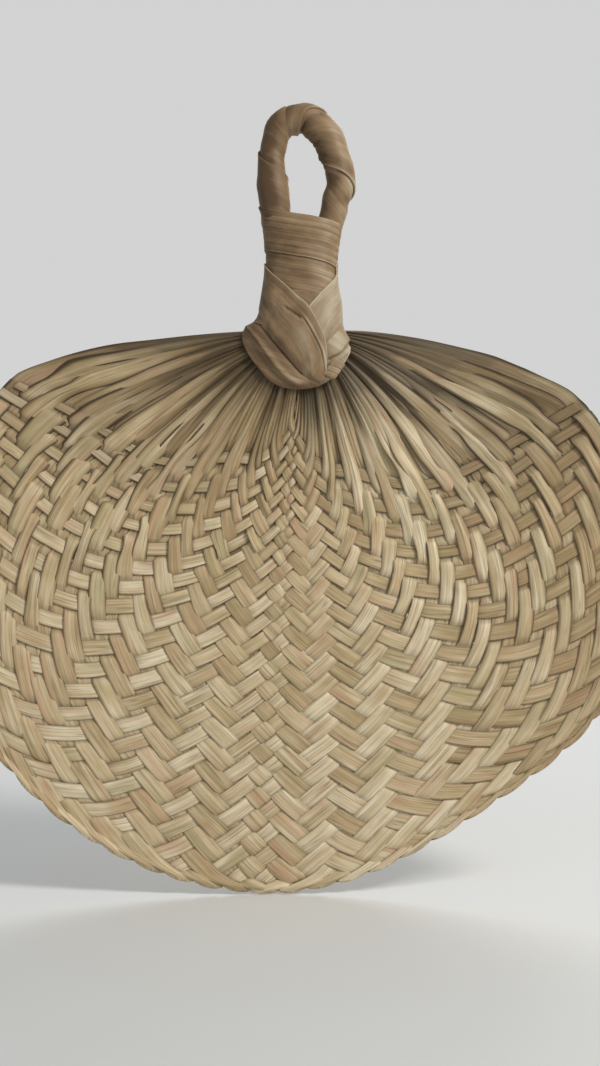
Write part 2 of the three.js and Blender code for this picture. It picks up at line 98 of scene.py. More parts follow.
# Running numbers of crossings along a leaf: where it leaves the throat and where the weave starts.
LEG_START = -1.5
WEAVE_START = -0.5
TWILL_TURN = 27
ACROSS = 13  # points across a strip
FOLD_MARGIN = 0.1
FOLD_EDGE = 0.7  # how far a fold bulges out at its edges, and what its middle adds
FOLD_MIDDLE = 0.8
FOLD_RUN = 6.0  # pattern length round a fold and along a hem, in millimetres
HEM_RUN = 14.0
HEM_SECTIONS = 12
HEM_GAP = 1.5
HEM_BULGE = 0.9
FOLDED_SEED = 400
LEFT_SEED = 100
RIGHT_SEED = 200
SMOOTH_ANGLE = 50 * DEGREE  # a sheet's rims, which are sharper, keep their edges


def linear(code):
    """Linear colour of an sRGB hex code."""
    parts = [int(code[place:place + 2], 16) / 255 for place in (0, 2, 4)]
    return tuple(part / 12.92 if part <= 0.04045 else ((part + 0.055) / 1.055) ** 2.4 for part in parts)


def length(label, note, default):
    """A length that the user may change."""
    return bpy.props.FloatProperty(
        name=label, description=note, default=default, min=0, unit="LENGTH", precision=5)


def colour(label, note, code):
    """A colour that the user may change."""
    return bpy.props.FloatVectorProperty(
        name=label, description=note, default=linear(code), size=3, min=0, max=1, subtype="COLOR")


class FanSizes(bpy.types.PropertyGroup):
    """Sizes of the leaves."""

    leaves: bpy.props.IntProperty(
        name="Leaves per side", description="Leaves that leave the throat on each side",
        default=37, min=8, max=60)
    turn_sum: bpy.props.IntProperty(
        name="Edge turn", description="Crossings at which the lower edge turns the leaves back",
        default=48, min=9)
    left_width: length("Left leaf width", "Broad leaves that start on the left", 0.0088)
    right_width: length("Right leaf width", "Leaves that start on the right", 0.0076)
    away_width: length("Far leaf width", "A leaf past the middle, nearer its tip", 0.0071)
    thickness: length("Leaf thickness", "Of one dried strip", 0.00045)
    layer: length("Layer", "Half the height between two strips that cross", 0.0007)
    step: length("Ring spacing", "Between two sections along a strip", 0.0016)
    wrap_thickness: length("Wrap thickness", "Of the broad leaf round the handle", 0.0007)


class FanColours(bpy.types.PropertyGroup):
    """Colours of the dried leaf."""

    cream: colour("Cream", "Palest strips", "ddceaf")
    straw: colour("Straw", "Most strips", "bea983")
    tan: colour("Tan", "Darker strips", "9e8660")
    olive: colour("Olive", "Greener streaks", "9c9268")
    rose: colour("Rose", "Pinkish streaks", "bd9a7a")
    # The staining colour also paints shade at strip edges and crossings; the gap colour is painted shade, the
    # darkest, deep between gathered strips.
    stain_and_shade: colour("Stain", "Edges and crossings", "4c3a20")
    gap: colour("Gap", "Deep between gathered strips", "241809")
    # The wrapping leaf's pale colour also paints its highlights on ridges, edges and the lit side, its dark
    # colour its painted shade in creases and on the shaded side.
    wrap_pale_and_highlight: colour("Wrap, pale", "Worn parts of the wrapping leaf", "b9ad94")
    wrap_mid: colour("Wrap", "Most of the wrapping leaf", "8a7152")
    wrap_dark_and_shade: colour("Wrap, dark", "Creases of the wrapping leaf", "523b20")
    wall: colour("Backdrop", "Floor and background", "d2d3d2")


def smooth(low, high, value):
    """Soft step from 0 at low to 1 at high."""
    share = np.clip((value - low) / (high - low), 0, 1)
    return share * share * (3 - 2 * share)


def leaf_count():
    """Leaves per side and the crossing sum at which the lower edge turns."""
    sizes = bpy.context.scene.fan_sizes
    return sizes.leaves, sizes.turn_sum


def slid(left, right, amount, fade):
    """Running numbers of a crossing, moved along its leaf at the sides of the blade, not at its edges."""
    leaves, turn_sum = leaf_count()
    across = (left - right) / leaves
    free = np.clip(1 - right / (turn_sum - left), 0, 1) ** fade
    moved_right = right + amount * (right + 0.5) * free * smooth(0.0, 0.5, across)
    free = np.clip(1 - left / (turn_sum - right), 0, 1) ** fade
    moved_left = left + amount * (left + 0.5) * free * smooth(0.0, 0.5, -across)
    return moved_left, moved_right


def weave_spot(left, right):
    """X and Z of the crossing of a left and a right leaf, both as running numbers."""
    leaves, turn_sum = leaf_count()
    aside = np.abs(left - right) / leaves
    lift = ROW_LIFT * np.exp(-np.minimum(left, right) / LIFT_ROWS)
    lift = lift * np.exp(-((aside - LIFT_ASIDE) / LIFT_SPREAD) ** 2)
    held_left, held_right = slid(left, right, -TURN_HOLD, 3)
    turned = (held_left - held_right + 2 * HALF_OFFSET) / leaves
    left, right = slid(left, right, ROW_SLIDE, 1)
    a = (left + HALF_OFFSET) / leaves
    b = (right - HALF_OFFSET) / leaves
    total = a + b
    across = a - b
    depth = total - np.sqrt(across ** 2 + MIDDLE_SOFTNESS)
    sink = 1 - SPREAD_SINK * smooth(SINK_START, SINK_END, depth)
    spread = across * sink
    edge = turn_sum / leaves
    growth = (BLADE_LENGTH - FIRST_CROSSING) / (edge + ROW_CURVE * edge ** 2)
    corner = SHOULDER_REACH - FIRST_CROSSING - growth * (1 + ROW_CURVE) + SIDE_TUCK
    reach = FIRST_CROSSING + growth * (total + ROW_CURVE * total ** 2) - lift
    reach = reach - SIDE_TUCK * spread ** 2 + corner * spread ** 6
    angle = (MIDDLE_DEGREES * turned + EDGE_DEGREES * turned ** 3) * sink * DEGREE
    angle = angle + LEAN * np.cos(angle)
    drawn = np.exp(-((angle - DRAWN_ANGLE) / DRAWN_SPREAD) ** 2)
    reach = reach - DRAWN_IN * drawn * (total / edge) ** 2
    return polar(reach, angle)


def polar(reach, angle):
    """X and Z at a reach from the gather point; a positive angle is to the left of straight down."""
    return np.stack([-reach * np.sin(angle), -GATHER_DROP - reach * np.cos(angle)], axis=-1)


def spot(side, index, crossing):
    """Crossing on a leaf of the left (side 1) or right (side -1) family."""
    return weave_spot(index, crossing) if side > 0 else weave_spot(crossing, index)


def unit(vector):
    """Vectors scaled to length one."""
    return vector / np.maximum(np.linalg.norm(vector, axis=-1, keepdims=True), 1e-9)


def leg_flat(side, index, crossing):
    """X and Z along a leg: out of the throat at first, in the weave from its start on."""
    leaves, _ = leaf_count()
    woven = spot(side, index, np.maximum(crossing, WEAVE_START))
    angle = side * THROAT_ANGLE * (index + 0.5) / leaves
    angle = angle + LEAN * np.cos(angle)
    start = polar(THROAT_REACH, angle)
    end = spot(side, index, WEAVE_START + 0 * index)
    span = np.linalg.norm(end - start, axis=-1, keepdims=True)
    leave = unit(polar(THROAT_REACH + 1, angle) - start) * span * THROAT_LEAVE
    arrive = unit(spot(side, index, WEAVE_START + 0.1 + 0 * index) - end) * span * THROAT_ARRIVE
    t = np.clip(crossing - LEG_START, 0, 1)[..., None]
    square = t * t
    cube = square * t
    gathered = (2 * cube - 3 * square + 1) * start + (cube - 2 * square + t) * leave
    gathered = gathered + (3 * square - 2 * cube) * end + (cube - square) * arrive
    return np.where((crossing < WEAVE_START)[..., None], gathered, woven)


def left_over(left, right):
    """True where the left leaf passes in front: a twill of two, in chevrons that turn back near the sides."""
    step = left - right
    if left > TWILL_TURN:
        step = 2 * TWILL_TURN - left - right
    elif right > TWILL_TURN:
        step = left + right - 2 * TWILL_TURN
    if step >= 1:
        return (step - 1) % 4 >= 2
    if step <= -2:
        return (-step - 2) % 4 < 2
    return step == 0


def float_levels(side, index, last):
    """-1 where the leaf passes in front, 1 behind, for each crossing up to the last."""
    levels = []
    for crossing in range(last + 1):
        over = left_over(index, crossing) if side > 0 else not left_over(crossing, index)
        levels.append(-1.0 if over else 1.0)
    return levels


def level_along(levels, crossing):
    """Level between crossings: flat on a float, a soft step between two floats."""
    known = np.array([levels[0]] + levels + [levels[-1]])
    place = np.clip(crossing, -0.999, len(levels) - 0.001)
    low = np.floor(place).astype(int)
    share = smooth(0.2, 0.8, place - low)
    level = known[low + 1] + (known[low + 2] - known[low + 1]) * share
    return level * smooth(-1.1, -0.35, crossing)


def cup(flat):
    """Y of the softly hollowed blade."""
    reach = np.hypot(flat[..., 0], flat[..., 1] + GATHER_DROP)
    return -flat[..., 0] ** 2 / (2 * CUP_ACROSS) - reach ** 2 / (2 * CUP_ALONG)


WANDER_PERIODS = (31.0, 67.0, 140.0)


def wander(rng, along, size):
    """Slow seeded wave along a strip."""
    wave = 0 * along
    for period in WANDER_PERIODS:
        wave = wave + np.sin(along * 2 * math.pi / period + rng.uniform(0, 6.3)) * rng.uniform(0.4, 1)
    return wave * size / 2


THROAT_SAMPLES = 120
WEAVE_SAMPLES = 480


def ring_crossings(side, index, last):
    """Crossing numbers of the sections of a leg, evenly spaced along it, and their lengths."""
    fine = np.concatenate([
        np.linspace(LEG_START, WEAVE_START, THROAT_SAMPLES, endpoint=False),
        np.linspace(WEAVE_START, last, WEAVE_SAMPLES)])
    path = leg_flat(side, np.full_like(fine, index), fine)
    run = np.concatenate([[0], np.cumsum(np.linalg.norm(np.diff(path, axis=0), axis=1))])
    count = int(run[-1] / (bpy.context.scene.fan_sizes.step / MM))
    along = np.linspace(0, run[-1], count)
    return np.interp(along, run, fine), along


class Strip:
    """Sections of one strip: points, pattern places and tints, added leg by leg."""

    def __init__(self, seed):
        self.rng = np.random.default_rng(seed)
        self.points = []
        self.places = []
        self.tints = []
        self.tone = self.rng.uniform(0, 1)
        self.run = self.rng.uniform(0, 400)

    def add(self, points, place, tint):
        self.points.append(points)
        self.places.append(place)
        self.tints.append(tint)

    def joined(self):
        return np.concatenate(self.points), np.concatenate(self.places), np.concatenate(self.tints)


# The two families: where a leaf comes to its own half, how much broader it is near the shoulder and past the
# middle, how far it laps its neighbour in front and closes up to it past the middle, its crown, what its own
# half adds to that, and its paleness.
LEFT_FAMILY = SimpleNamespace(
    home=(-0.2, -0.06), widened=0.3, spare=1.2, lapping=0.55, closing=0.23,
    crown=0.24, swell=0.1, paleness=0.11)
RIGHT_FAMILY = SimpleNamespace(
    home=(0.02, 0.12), widened=0.2, spare=0.3, lapping=0.45, closing=0.17,
    crown=0.2, swell=0.4, paleness=0.39)
# Crossings over which a leaf comes out of the binding, out of the gather, and comes to lie flat.
BOUND_ZONE = (LEG_START, -0.85)
GATHER_ZONE = (-1.3, -0.72)
LOOSE_ZONE = (-1.0, 3.0)
# Leaf numbers over which the outer part of a side begins and its last leaves are reached, and rows over which
# the shoulder ends.
OUTER_LEAVES = (12, 20)
LAST_LEAVES = (34.5, 36)
SHOULDER_ROWS = (5, 13)
# Heights in millimetres: of a pleat at most, of a strip's edge over its middle, and of a fold's soft puff.
PLEAT_MOST = 1.8
EDGE_TILT = 0.34
FOLD_PUFF = 1.5
FOLD_PULL = 0.6  # how far a fold draws the edges of the strip in
PINCHES = 3
CREASES = 4
CREASE_SPREAD = 0.15  # of half the strip's width
# What a leg does at the lower edge: how far it bends along it, and the level at which it gets there.
EDGE_BEND = {"hem": 0, "front": 0.6, "back": -0.6}
EDGE_LEVEL = {"front": -1.7, "back": 1.0}
NUDGE = 0.05  # of a leaf, to either side, to measure the room that it has


def leg_course(side, index, last, levels):
    """Course of one leg, a value for each section.

    Zones go from 0 to 1: bound in the throat, gathered and loosened below it, at_home on the leaf's own half,
    outer and shoulder towards the side, over where it passes in front.
    """
    leaves, _ = leaf_count()
    family = LEFT_FAMILY if side > 0 else RIGHT_FAMILY
    crossing, along = ring_crossings(side, index, last)
    centre = np.full_like(crossing, float(index))
    beside = leg_flat(side, centre + NUDGE, crossing) - leg_flat(side, centre - NUDGE, crossing)
    beside = beside / (2 * NUDGE)
    run = np.gradient(leg_flat(side, centre, crossing), axis=0)
    onward = unit(run)
    at_home = smooth(*family.home, (index - crossing) / leaves)
    row = np.minimum(index, crossing)
    outer = smooth(*OUTER_LEAVES, np.maximum(index, crossing))
    shoulder = (1 - smooth(*SHOULDER_ROWS, row)) * outer

    # In front or behind at each crossing, less deep where the crossing strips leave room.
    level = level_along(levels, crossing)
    level = level * (1 - 0.5 * shoulder * (1 - at_home) * (level < 0))
    pace = np.linalg.norm(run, axis=1) / np.gradient(crossing)
    between = np.sin(math.pi * crossing) ** 2 * smooth(WEAVE_START, 0.0, crossing)
    opening = np.clip(1 - 6.0 / pace, 0, 0.6) * between * smooth(0.2, 0.9, level)
    level = level * (1 - 1.7 * opening)
    return SimpleNamespace(
        side=side, index=index, last=last, family=family, crossing=crossing, along=along,
        row=row, at_home=at_home, outer=outer, shoulder=shoulder,
        between=between, opening=opening, level=level, over=smooth(0.5, -0.4, level),
        spacing=np.abs(beside[:, 0] * onward[:, 1] - beside[:, 1] * onward[:, 0]),
        gathered=1 - smooth(*GATHER_ZONE, crossing),
        loosened=1 - smooth(*LOOSE_ZONE, crossing),
        bound=1 - smooth(*BOUND_ZONE, crossing))


def leg_widths(leg, rng):
    """Adds a leg's natural width, the share of its room that it covers, its roll and its place in the stack.

    A leaf is broad and lapped on its own half, slim with room between on the other.
    """
    sizes = bpy.context.scene.fan_sizes
    family, crossing, along, index, row = leg.family, leg.crossing, leg.along, leg.index, leg.row
    within = 1 - smooth(*LAST_LEAVES, index)
    uneven = rng.uniform(0.93, 1.07) * (1 + wander(rng, along, 0.06))
    broad = (sizes.left_width if leg.side > 0 else sizes.right_width) / MM * uneven
    broad = broad * (1 + family.widened * (1 - smooth(-0.5, 7, crossing)) * smooth(8, 16, index))
    broad = broad * (1 + 0.3 * (1 - smooth(0, 4, crossing)) * smooth(29, 33, index) * within)
    slim = sizes.away_width / MM + family.spare
    slim = slim - 1.8 * (1 - smooth(2, 9, row)) - 1.1 * (1 - smooth(0.5, 4, row)) * leg.outer
    slim = slim * uneven
    leg.natural = slim + (broad - slim) * leg.at_home
    leg.stack = rng.uniform(-2.3, 2.3) * (1 - 0.7 * float(smooth(26, 33, index)))
    leg.on_top = smooth(0.6, -0.6, leg.stack)
    loose = rng.uniform(1.8, 2.3) + 0.3 * leg.on_top
    limit = 1.08 + (family.lapping + 0.7 * leg.shoulder) * leg.over + (0.1 + 0.2 * leg.on_top) * leg.loosened
    limit = np.maximum(limit, 1.08 + 0.6 * (1 - smooth(-0.55, -0.1, crossing)) * within)
    limit = limit + (loose - limit) * leg.gathered
    away_cover = np.minimum(slim / leg.spacing, 0.7 + family.closing * smooth(3, 12, row))
    cover = away_cover + (np.clip(broad / leg.spacing, 1.06, limit) - away_cover) * leg.at_home
    roll = rng.uniform(-18, 18) + 16 * np.sin(along / rng.uniform(16, 28) + rng.uniform(0, 6.3))
    roll = roll * DEGREE * smooth(-1.3, -1.0, crossing) * (1 - smooth(-0.75, -0.2, crossing))
    for _ in range(PINCHES):
        middle = np.interp(rng.uniform(-1.2, 8.0), crossing, along)
        pinch = np.exp(-((along - middle) / rng.uniform(7, 14)) ** 2) * leg.at_home * leg.over
        cover = np.maximum(cover * (1 - rng.uniform(0.15, 0.5) * pinch), np.minimum(cover, 1.0))
        roll = roll + rng.uniform(-24, 24) * DEGREE * pinch
    leg.cover = cover
    leg.roll = roll


def leg_shape(leg, rng, s, turned, end):
    """Points of a leg's sections, and their X and Z alone."""
    crossing, along, last = leg.crossing, leg.along, leg.last
    edge_share = smooth(last - 1.0, last, crossing)
    leg.folding = edge_share * (end != "hem")
    cover = leg.cover
    if end == "front":
        cover = cover + (1.0 - cover) * edge_share
    drift = wander(rng, along, 0.05) + rng.uniform(-0.3, 0.3) * leg.gathered
    bend = EDGE_BEND[end] * edge_share ** 2
    drift = drift - bend
    shift = s * cover[:, None] / 2
    if turned:
        shift = -shift
    sheared = (crossing + bend)[:, None] + 0 * s
    if end != "hem":
        sheared = sheared - shift * edge_share[:, None]
    flat = leg_flat(leg.side, leg.index + drift[:, None] + shift, sheared)
    if end != "hem":
        pulled = FOLD_PULL * edge_share[:, None] ** 3 * s ** 4
        flat = flat - pulled[..., None] * unit(flat - np.array([0, -GATHER_DROP]))
        leg.level = leg.level + (EDGE_LEVEL[end] - leg.level) * smooth(last - 0.75, last - 0.35, crossing)

    rise = leg.level[:, None] * bpy.context.scene.fan_sizes.layer / MM + 0 * s
    width = cover * leg.spacing
    spare = np.sqrt(np.maximum((leg.natural * 0.98) ** 2 - width ** 2, 0))
    pleat = np.minimum(0.33 * spare, PLEAT_MOST) * smooth(0.25, 0.7, 1 - width / leg.natural)
    leg.pleat = pleat * (1 - 0.95 * (1 - leg.over) * smooth(-0.6, -0.2, crossing))
    crown = leg.family.crown + leg.family.swell * leg.at_home * leg.over
    rise = rise - (crown + leg.pleat)[:, None] * (1 - np.abs(s) ** 1.6)
    pressed = (0.3 + 0.7 * leg.over)[:, None]
    rise = rise - EDGE_TILT * s * (1 - leg.gathered[:, None]) * pressed
    amount = (0.08 + 0.36 * leg.at_home)[:, None] * pressed
    for _ in range(CREASES):
        place = rng.uniform(-0.85, 0.85) + 0.12 * np.sin(along / rng.uniform(18, 50) + rng.uniform(0, 6.3))
        height = rng.uniform(-0.6, 1) * (0.6 + 0.4 * np.sin(along / rng.uniform(15, 40) + rng.uniform(0, 6)))
        rise = rise - amount * height[:, None] * np.exp(-((s - place[:, None]) / CREASE_SPREAD) ** 2)
    rise = rise + s * width[:, None] / 2 * np.sin(leg.roll)[:, None]
    held = np.clip(leg.spacing / 2.2, 0.5, 1)
    rise = rise + (leg.stack * held * (leg.gathered + 0.12 * leg.loosened * (1 - leg.gathered)))[:, None]
    if end == "front":
        puff = np.sin(math.pi * np.clip(crossing - last + 0.8, 0, 1)) ** 1.5
        rise = rise - FOLD_PUFF * puff[:, None] * (1 - s ** 2)
    return np.stack([flat[..., 0], cup(flat) + rise, flat[..., 1]], axis=-1), flat


def leg_tints(leg, strip, s, flat):
    """Tints of a leg's sections: tone with painted highlights and shade, staining and painted shade of the
    front, the strip's own number and staining and painted shade of the back.
    """
    index, gathered, loosened = leg.index, leg.gathered, leg.loosened
    at_home, on_top = leg.at_home, leg.on_top
    edge = np.abs(s)
    # Painted shade where the strip passes behind a crossing strip, less where the weave opens; the second is
    # the same seen from the back.
    hollow = 1 - 0.85 * leg.between * smooth(0.2, 0.6, leg.opening + 0.15 * leg.between)
    hollow = hollow * smooth(-0.5, -0.1, leg.crossing)
    low = smooth(-0.4, 0.9, leg.level) * hollow
    painted_under_shade_back = smooth(-0.4, 0.9, -leg.level) * hollow
    aside = smooth(35, 110, np.abs(flat[..., 0]))
    # Edges darkened by staining and by painted shade, more at the folds of the lower edge and towards the
    # sides.
    rim = (0.5 + 0.25 * loosened + 0.6 * leg.folding)[:, None] * smooth(0.8, 1.0, edge)
    rim = rim + 0.3 * aside * smooth(0.72, 0.95, edge)
    # Painted shade in the creases between gathered strips and along the open edges of loosened and shoulder
    # strips.
    open_edge = gathered + np.maximum(0.8 * loosened, 1.1 * leg.shoulder) * at_home * leg.over
    painted_crease_shade = open_edge[:, None] * smooth(0.68, 1.0, edge) * (1 - 0.3 * on_top)
    inmost = math.exp(-(index / 9) ** 2)
    shaded = leg.bound * (0.75 + 0.25 * inmost) + 0.3 * gathered * inmost
    off_middle = smooth(5, 9, np.maximum(index, leg.crossing))
    shaded = shaded + 0.35 * (1 - at_home) * (1 - smooth(0.5, 3.0, leg.row)) * off_middle
    # Painted shade on strips that lie beneath others in the gather and as they loosen.
    painted_shade_beneath = 0.6 * gathered + 0.3 * loosened * at_home
    depth = -flat[..., 1]
    # Darker towards the top, painted shade towards the right, and a painted shadow of the handle over the
    # middle below the throat.
    painted_shade_by_place = 0.2 * (1 - smooth(140, 215, depth)) + 0.12 * smooth(40, 130, flat[..., 0])
    painted_shade_by_place = painted_shade_by_place + 0.3 * np.exp(-(flat[..., 0] / 48) ** 2) * (1 - smooth(135, 170, depth))
    # All painted shade and edge staining together, with painted shade on the sides of pleats.
    shade_and_edge_stain = painted_shade_by_place + rim + 0.9 * painted_crease_shade + 0.3 * (leg.pleat / 2)[:, None] * edge
    # Where the gap colour of painted shade may reach: strip edges where strips open, fold or lie towards the
    # sides, and gathered strips beneath others or bound.
    edge_gap_shade = np.maximum(np.maximum(loosened, leg.shoulder), leg.folding)[:, None]
    edge_gap_shade = np.maximum(edge_gap_shade, 0.7 * aside) * smooth(0.66, 0.9, edge)
    deep = (gathered * np.maximum(leg.bound, 1 - on_top))[:, None]
    darkest = 0.8 + np.maximum(0.2 * edge_gap_shade, 0.16 * deep)
    painted_shade_and_stain = np.clip((0.7 * low + (1 - on_top) * painted_shade_beneath + shaded)[:, None] + shade_and_edge_stain, 0, darkest)
    far_painted_shade_and_stain = (0.7 * painted_under_shade_back + 0.6 * on_top * painted_shade_beneath + 0.5 * shaded)[:, None] + 0.75 * shade_and_edge_stain
    far_painted_shade_and_stain = np.clip(far_painted_shade_and_stain, 0, 0.85)
    tone = 0.34 * strip.tone + leg.family.paleness + wander(strip.rng, leg.along, 0.16)[:, None] + 0 * s
    # Paler towards the lower edge, and painted shade towards the right.
    tone = tone + 0.3 * smooth(150, 340, depth) - 0.1 - 0.28 * smooth(40, 130, flat[..., 0])
    # A painted highlight along the middle of top strips near the shoulders and below the throat, on their own
    # half.
    painted_highlight = np.maximum(leg.shoulder, loosened) * at_home * leg.over * smooth(6, 14, index)
    tone = tone + 0.25 * painted_highlight[:, None] * smooth(0.9, 0.3, edge)
    return np.stack([np.clip(tone, 0, 1), painted_shade_and_stain, np.full_like(tone, strip.tone), far_painted_shade_and_stain], axis=-1)


def leg_sections(strip, side, index, last, levels, turned, end):
    """Sections of one leg from the throat to crossing last: points, pattern places and tints.

    end is hem, front or back, what the leg does at the edge; turned swaps its two edges.
    """
    s = np.linspace(-1, 1, ACROSS)[None, :]
    leg = leg_course(side, index, last, levels)
    leg_widths(leg, strip.rng)
    points, flat = leg_shape(leg, strip.rng, s, turned, end)
    tint = leg_tints(leg, strip, s, flat)
    place = np.stack([s * leg.natural[:, None] / 2, strip.run + leg.along[:, None] + 0 * s], axis=-1)
    return points, place, tint


TURN_STEPS = 8


def turn_sections(first, second, outward, bulge):
    """Sections of a soft turn between two end sections, bulging outward."""
    sections = []
    for share in np.linspace(0, math.pi, TURN_STEPS + 1)[1:-1]:
        mix = (1 - math.cos(share)) / 2
        lump = bulge[:, None] * math.sin(share)
        sections.append(first * (1 - mix) + second * mix + outward * lump)
    return np.array(sections)


def outward_of(section):
    """Direction away from the gather point, in the blade's plane."""
    middle = section.mean(axis=0) - np.array([0, 0, -GATHER_DROP])
    middle[1] = 0
    return middle / np.linalg.norm(middle)


def folded_strip(index):
    """A leaf that runs down from the left shoulder, turns at the lower edge and runs up to the right one."""
    _, turn_sum = leaf_count()
    strip = Strip(FOLDED_SEED + index)
    partner = turn_sum - index
    ends = ("front", "back") if index >= partner else ("back", "front")
    left = leg_sections(
        strip, 1, index, partner - FOLD_MARGIN, float_levels(1, index, partner - 1), False, ends[0])
    right = leg_sections(
        strip, -1, partner, index - FOLD_MARGIN, float_levels(-1, partner, index - 1), True, ends[1])
    strip.add(*left)
    lump = FOLD_EDGE + FOLD_MIDDLE * (1 - np.linspace(-1, 1, ACROSS) ** 2)
    bend = turn_sections(left[0][-1], right[0][-1], outward_of(left[0][-1]), lump)
    share = np.linspace(0, 1, len(bend) + 2)[1:-1, None, None]
    start = left[1][-1]
    tint = left[2][-1] * (1 - share) + right[2][-1] * share
    strip.add(bend, start[None] + share * np.array([0.0, FOLD_RUN]), tint)
    far = right[1][::-1].copy()
    far[..., 0] = -far[..., 0]
    far[..., 1] = start[0, 1] + FOLD_RUN + (right[1][-1][0, 1] - far[..., 1])
    strip.add(right[0][::-1], far, right[2][::-1])
    return strip.joined()


def hemmed_strip(side, index):
    """A leaf that ends at the far side edge, turned back behind the outermost leaf."""
    leaves, _ = leaf_count()
    strip = Strip((LEFT_SEED if side > 0 else RIGHT_SEED) + index)
    last = leaves - 0.3 - 0.6 * math.exp(-index)
    levels = float_levels(side, index, leaves - 1)
    points, place, tint = leg_sections(strip, side, index, last, levels, False, "hem")
    strip.add(points, place, tint)
    back = points[-2:-2 - HEM_SECTIONS:-1].copy()
    back[..., 1] = np.maximum(back[..., 1], points[-1][..., 1]) + HEM_GAP
    onward = unit((points[-1] - points[-3]).mean(axis=0))
    bend = turn_sections(points[-1], back[0], onward, np.full(ACROSS, HEM_BULGE))
    share = np.linspace(0, 1, len(bend) + len(back) + 1)[1:, None, None]
    tail = np.concatenate([bend, back])
    far = place[-1][None] + share * np.array([0.0, HEM_RUN])
    strip.add(tail, far, np.repeat(tint[-1][None], len(tail), axis=0))
    return strip.joined()


def values_of(items, key, size):
    """One kind of value of a mesh's items, a row for each."""
    found = np.empty(len(items) * size)
    items.foreach_get(key, found)
    return found.reshape(-1, size)


def leaf_sheet(name, points, places, tints, thickness):
    """A grid bent to the given sections, thickened to a leaf, with its own pattern map and tints.

    The tints hold tone, staining and painted shade of the front, a number of its own and staining and painted
    shade of the back.
    """
    rows, columns = points.shape[:2]
    bpy.ops.object.select_all(action="DESELECT")
    bpy.ops.mesh.primitive_grid_add(
        x_subdivisions=columns - 1, y_subdivisions=rows - 1, size=2, location=(0, 0, 0))
    sheet = bpy.context.active_object
    sheet.name = name
    mesh = sheet.data
    mesh.name = name
    spots = values_of(mesh.vertices, "co", 3)
    column = np.rint((spots[:, 0] + 1) / 2 * (columns - 1)).astype(int)
    row = np.rint((spots[:, 1] + 1) / 2 * (rows - 1)).astype(int)
    mesh.vertices.foreach_set("co", (points[row, column] * MM).ravel())
    corners = values_of(mesh.loops, "vertex_index", 1)[:, 0].astype(int)
    mesh.uv_layers.active.data.foreach_set("uv", places[row, column][corners].ravel())
    layer = mesh.attributes.new("leaf", "FLOAT_COLOR", "POINT")
    layer.data.foreach_set("color", tints[row, column].ravel())
    mesh.update()
    wall = sheet.modifiers.new("Thickness", "SOLIDIFY")
    wall.thickness = thickness
    wall.offset = 0
    bpy.ops.object.modifier_apply(modifier=wall.name)
    depth = values_of(mesh.vertices, "co", 3)[:, 1].reshape(2, -1)
    layer = mesh.attributes["leaf"]
    shown = values_of(layer.data, "color", 4).reshape(2, -1, 4)
    at_back = np.stack([depth[0] > depth[1], depth[0] <= depth[1]])
    shown[..., 1] = np.where(at_back, shown[..., 3], shown[..., 1])
    shown[..., 3] = 1
    layer.data.foreach_set("color", shown.ravel())
    bpy.ops.object.shade_smooth_by_angle(angle=SMOOTH_ANGLE)
    return sheet


def settle(piece, material, node):
    """Puts a finished piece on its body, with its finish and the CAD node it stands for."""
    piece.data.materials.clear()
    piece.data.materials.append(material)
    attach(piece, "root")
    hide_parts(node)


def weave_family(word, strips):
    """Makes the strips of a family from their sections, each in place of the CAD leaf nearest to it."""
    nodes = sorted(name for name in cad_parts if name.startswith(word + "_leaf"))
    for place, sections in enumerate(strips):
        name = f"{word}_strip_{place + 1:02d}"
        sheet = leaf_sheet(name, *sections, bpy.context.scene.fan_sizes.thickness)
        node = nodes[round(place / (len(strips) - 1) * (len(nodes) - 1))]
        settle(sheet, split_leaf(), node)


def wrap_piece(name, sections, node):
    """A sheet of the handle's broad leaf in place of a CAD node."""
    sheet = leaf_sheet(name, *sections, bpy.context.scene.fan_sizes.wrap_thickness)
    settle(sheet, broad_leaf(), node)


def wrap_tint(tone, painted_shade_and_stain, own):
    """Tints of a sheet of the handle, with the same staining and painted shade on both faces; own is its
    number.
    """
    painted_shade_and_stain = np.clip(painted_shade_and_stain, 0, 1)
    return np.stack([np.clip(tone, 0, 1), painted_shade_and_stain, np.full_like(tone, own), painted_shade_and_stain], axis=-1)


def add_node(tree, kind, links=None, stops=(), **settings):
    """Adds a node: links maps its inputs to sockets or values, stops are a ramp's places and colours."""
    node = tree.nodes.new(kind)
    for key, value in settings.items():
        setattr(node, key, value)
    for key, value in (links or {}).items():
        if isinstance(value, bpy.types.NodeSocket):
            tree.links.new(value, node.inputs[key])
        else:
            node.inputs[key].default_value = value
    for _ in stops[2:]:
        node.color_ramp.elements.new(0.5)
    for number, (place, shade) in enumerate(stops):
        element = node.color_ramp.elements[number]
        element.position = place
        element.color = (*shade, 1)
    return node


def blank_material(name):
    """A new material with its tree and shader."""
    made = bpy.data.materials.new(name)
    made.use_nodes = True
    tree = made.node_tree
    return made, tree, tree.nodes["Principled BSDF"]


def leaf_tints(tree):
    """A leaf's own tints: Red is its tone, painted light included, Green its staining and painted shade, Blue
    its number.
    """
    tint = add_node(tree, "ShaderNodeAttribute", attribute_name="leaf")
    return add_node(tree, "ShaderNodeSeparateColor", {"Color": tint.outputs["Color"]}).outputs


# Patterns of noise reach from about the first to the second of these values.
NOISE_LOW = 0.3
NOISE_HIGH = 0.7
PATTERN_APART = 613.0  # sets the noise of one leaf apart from another's


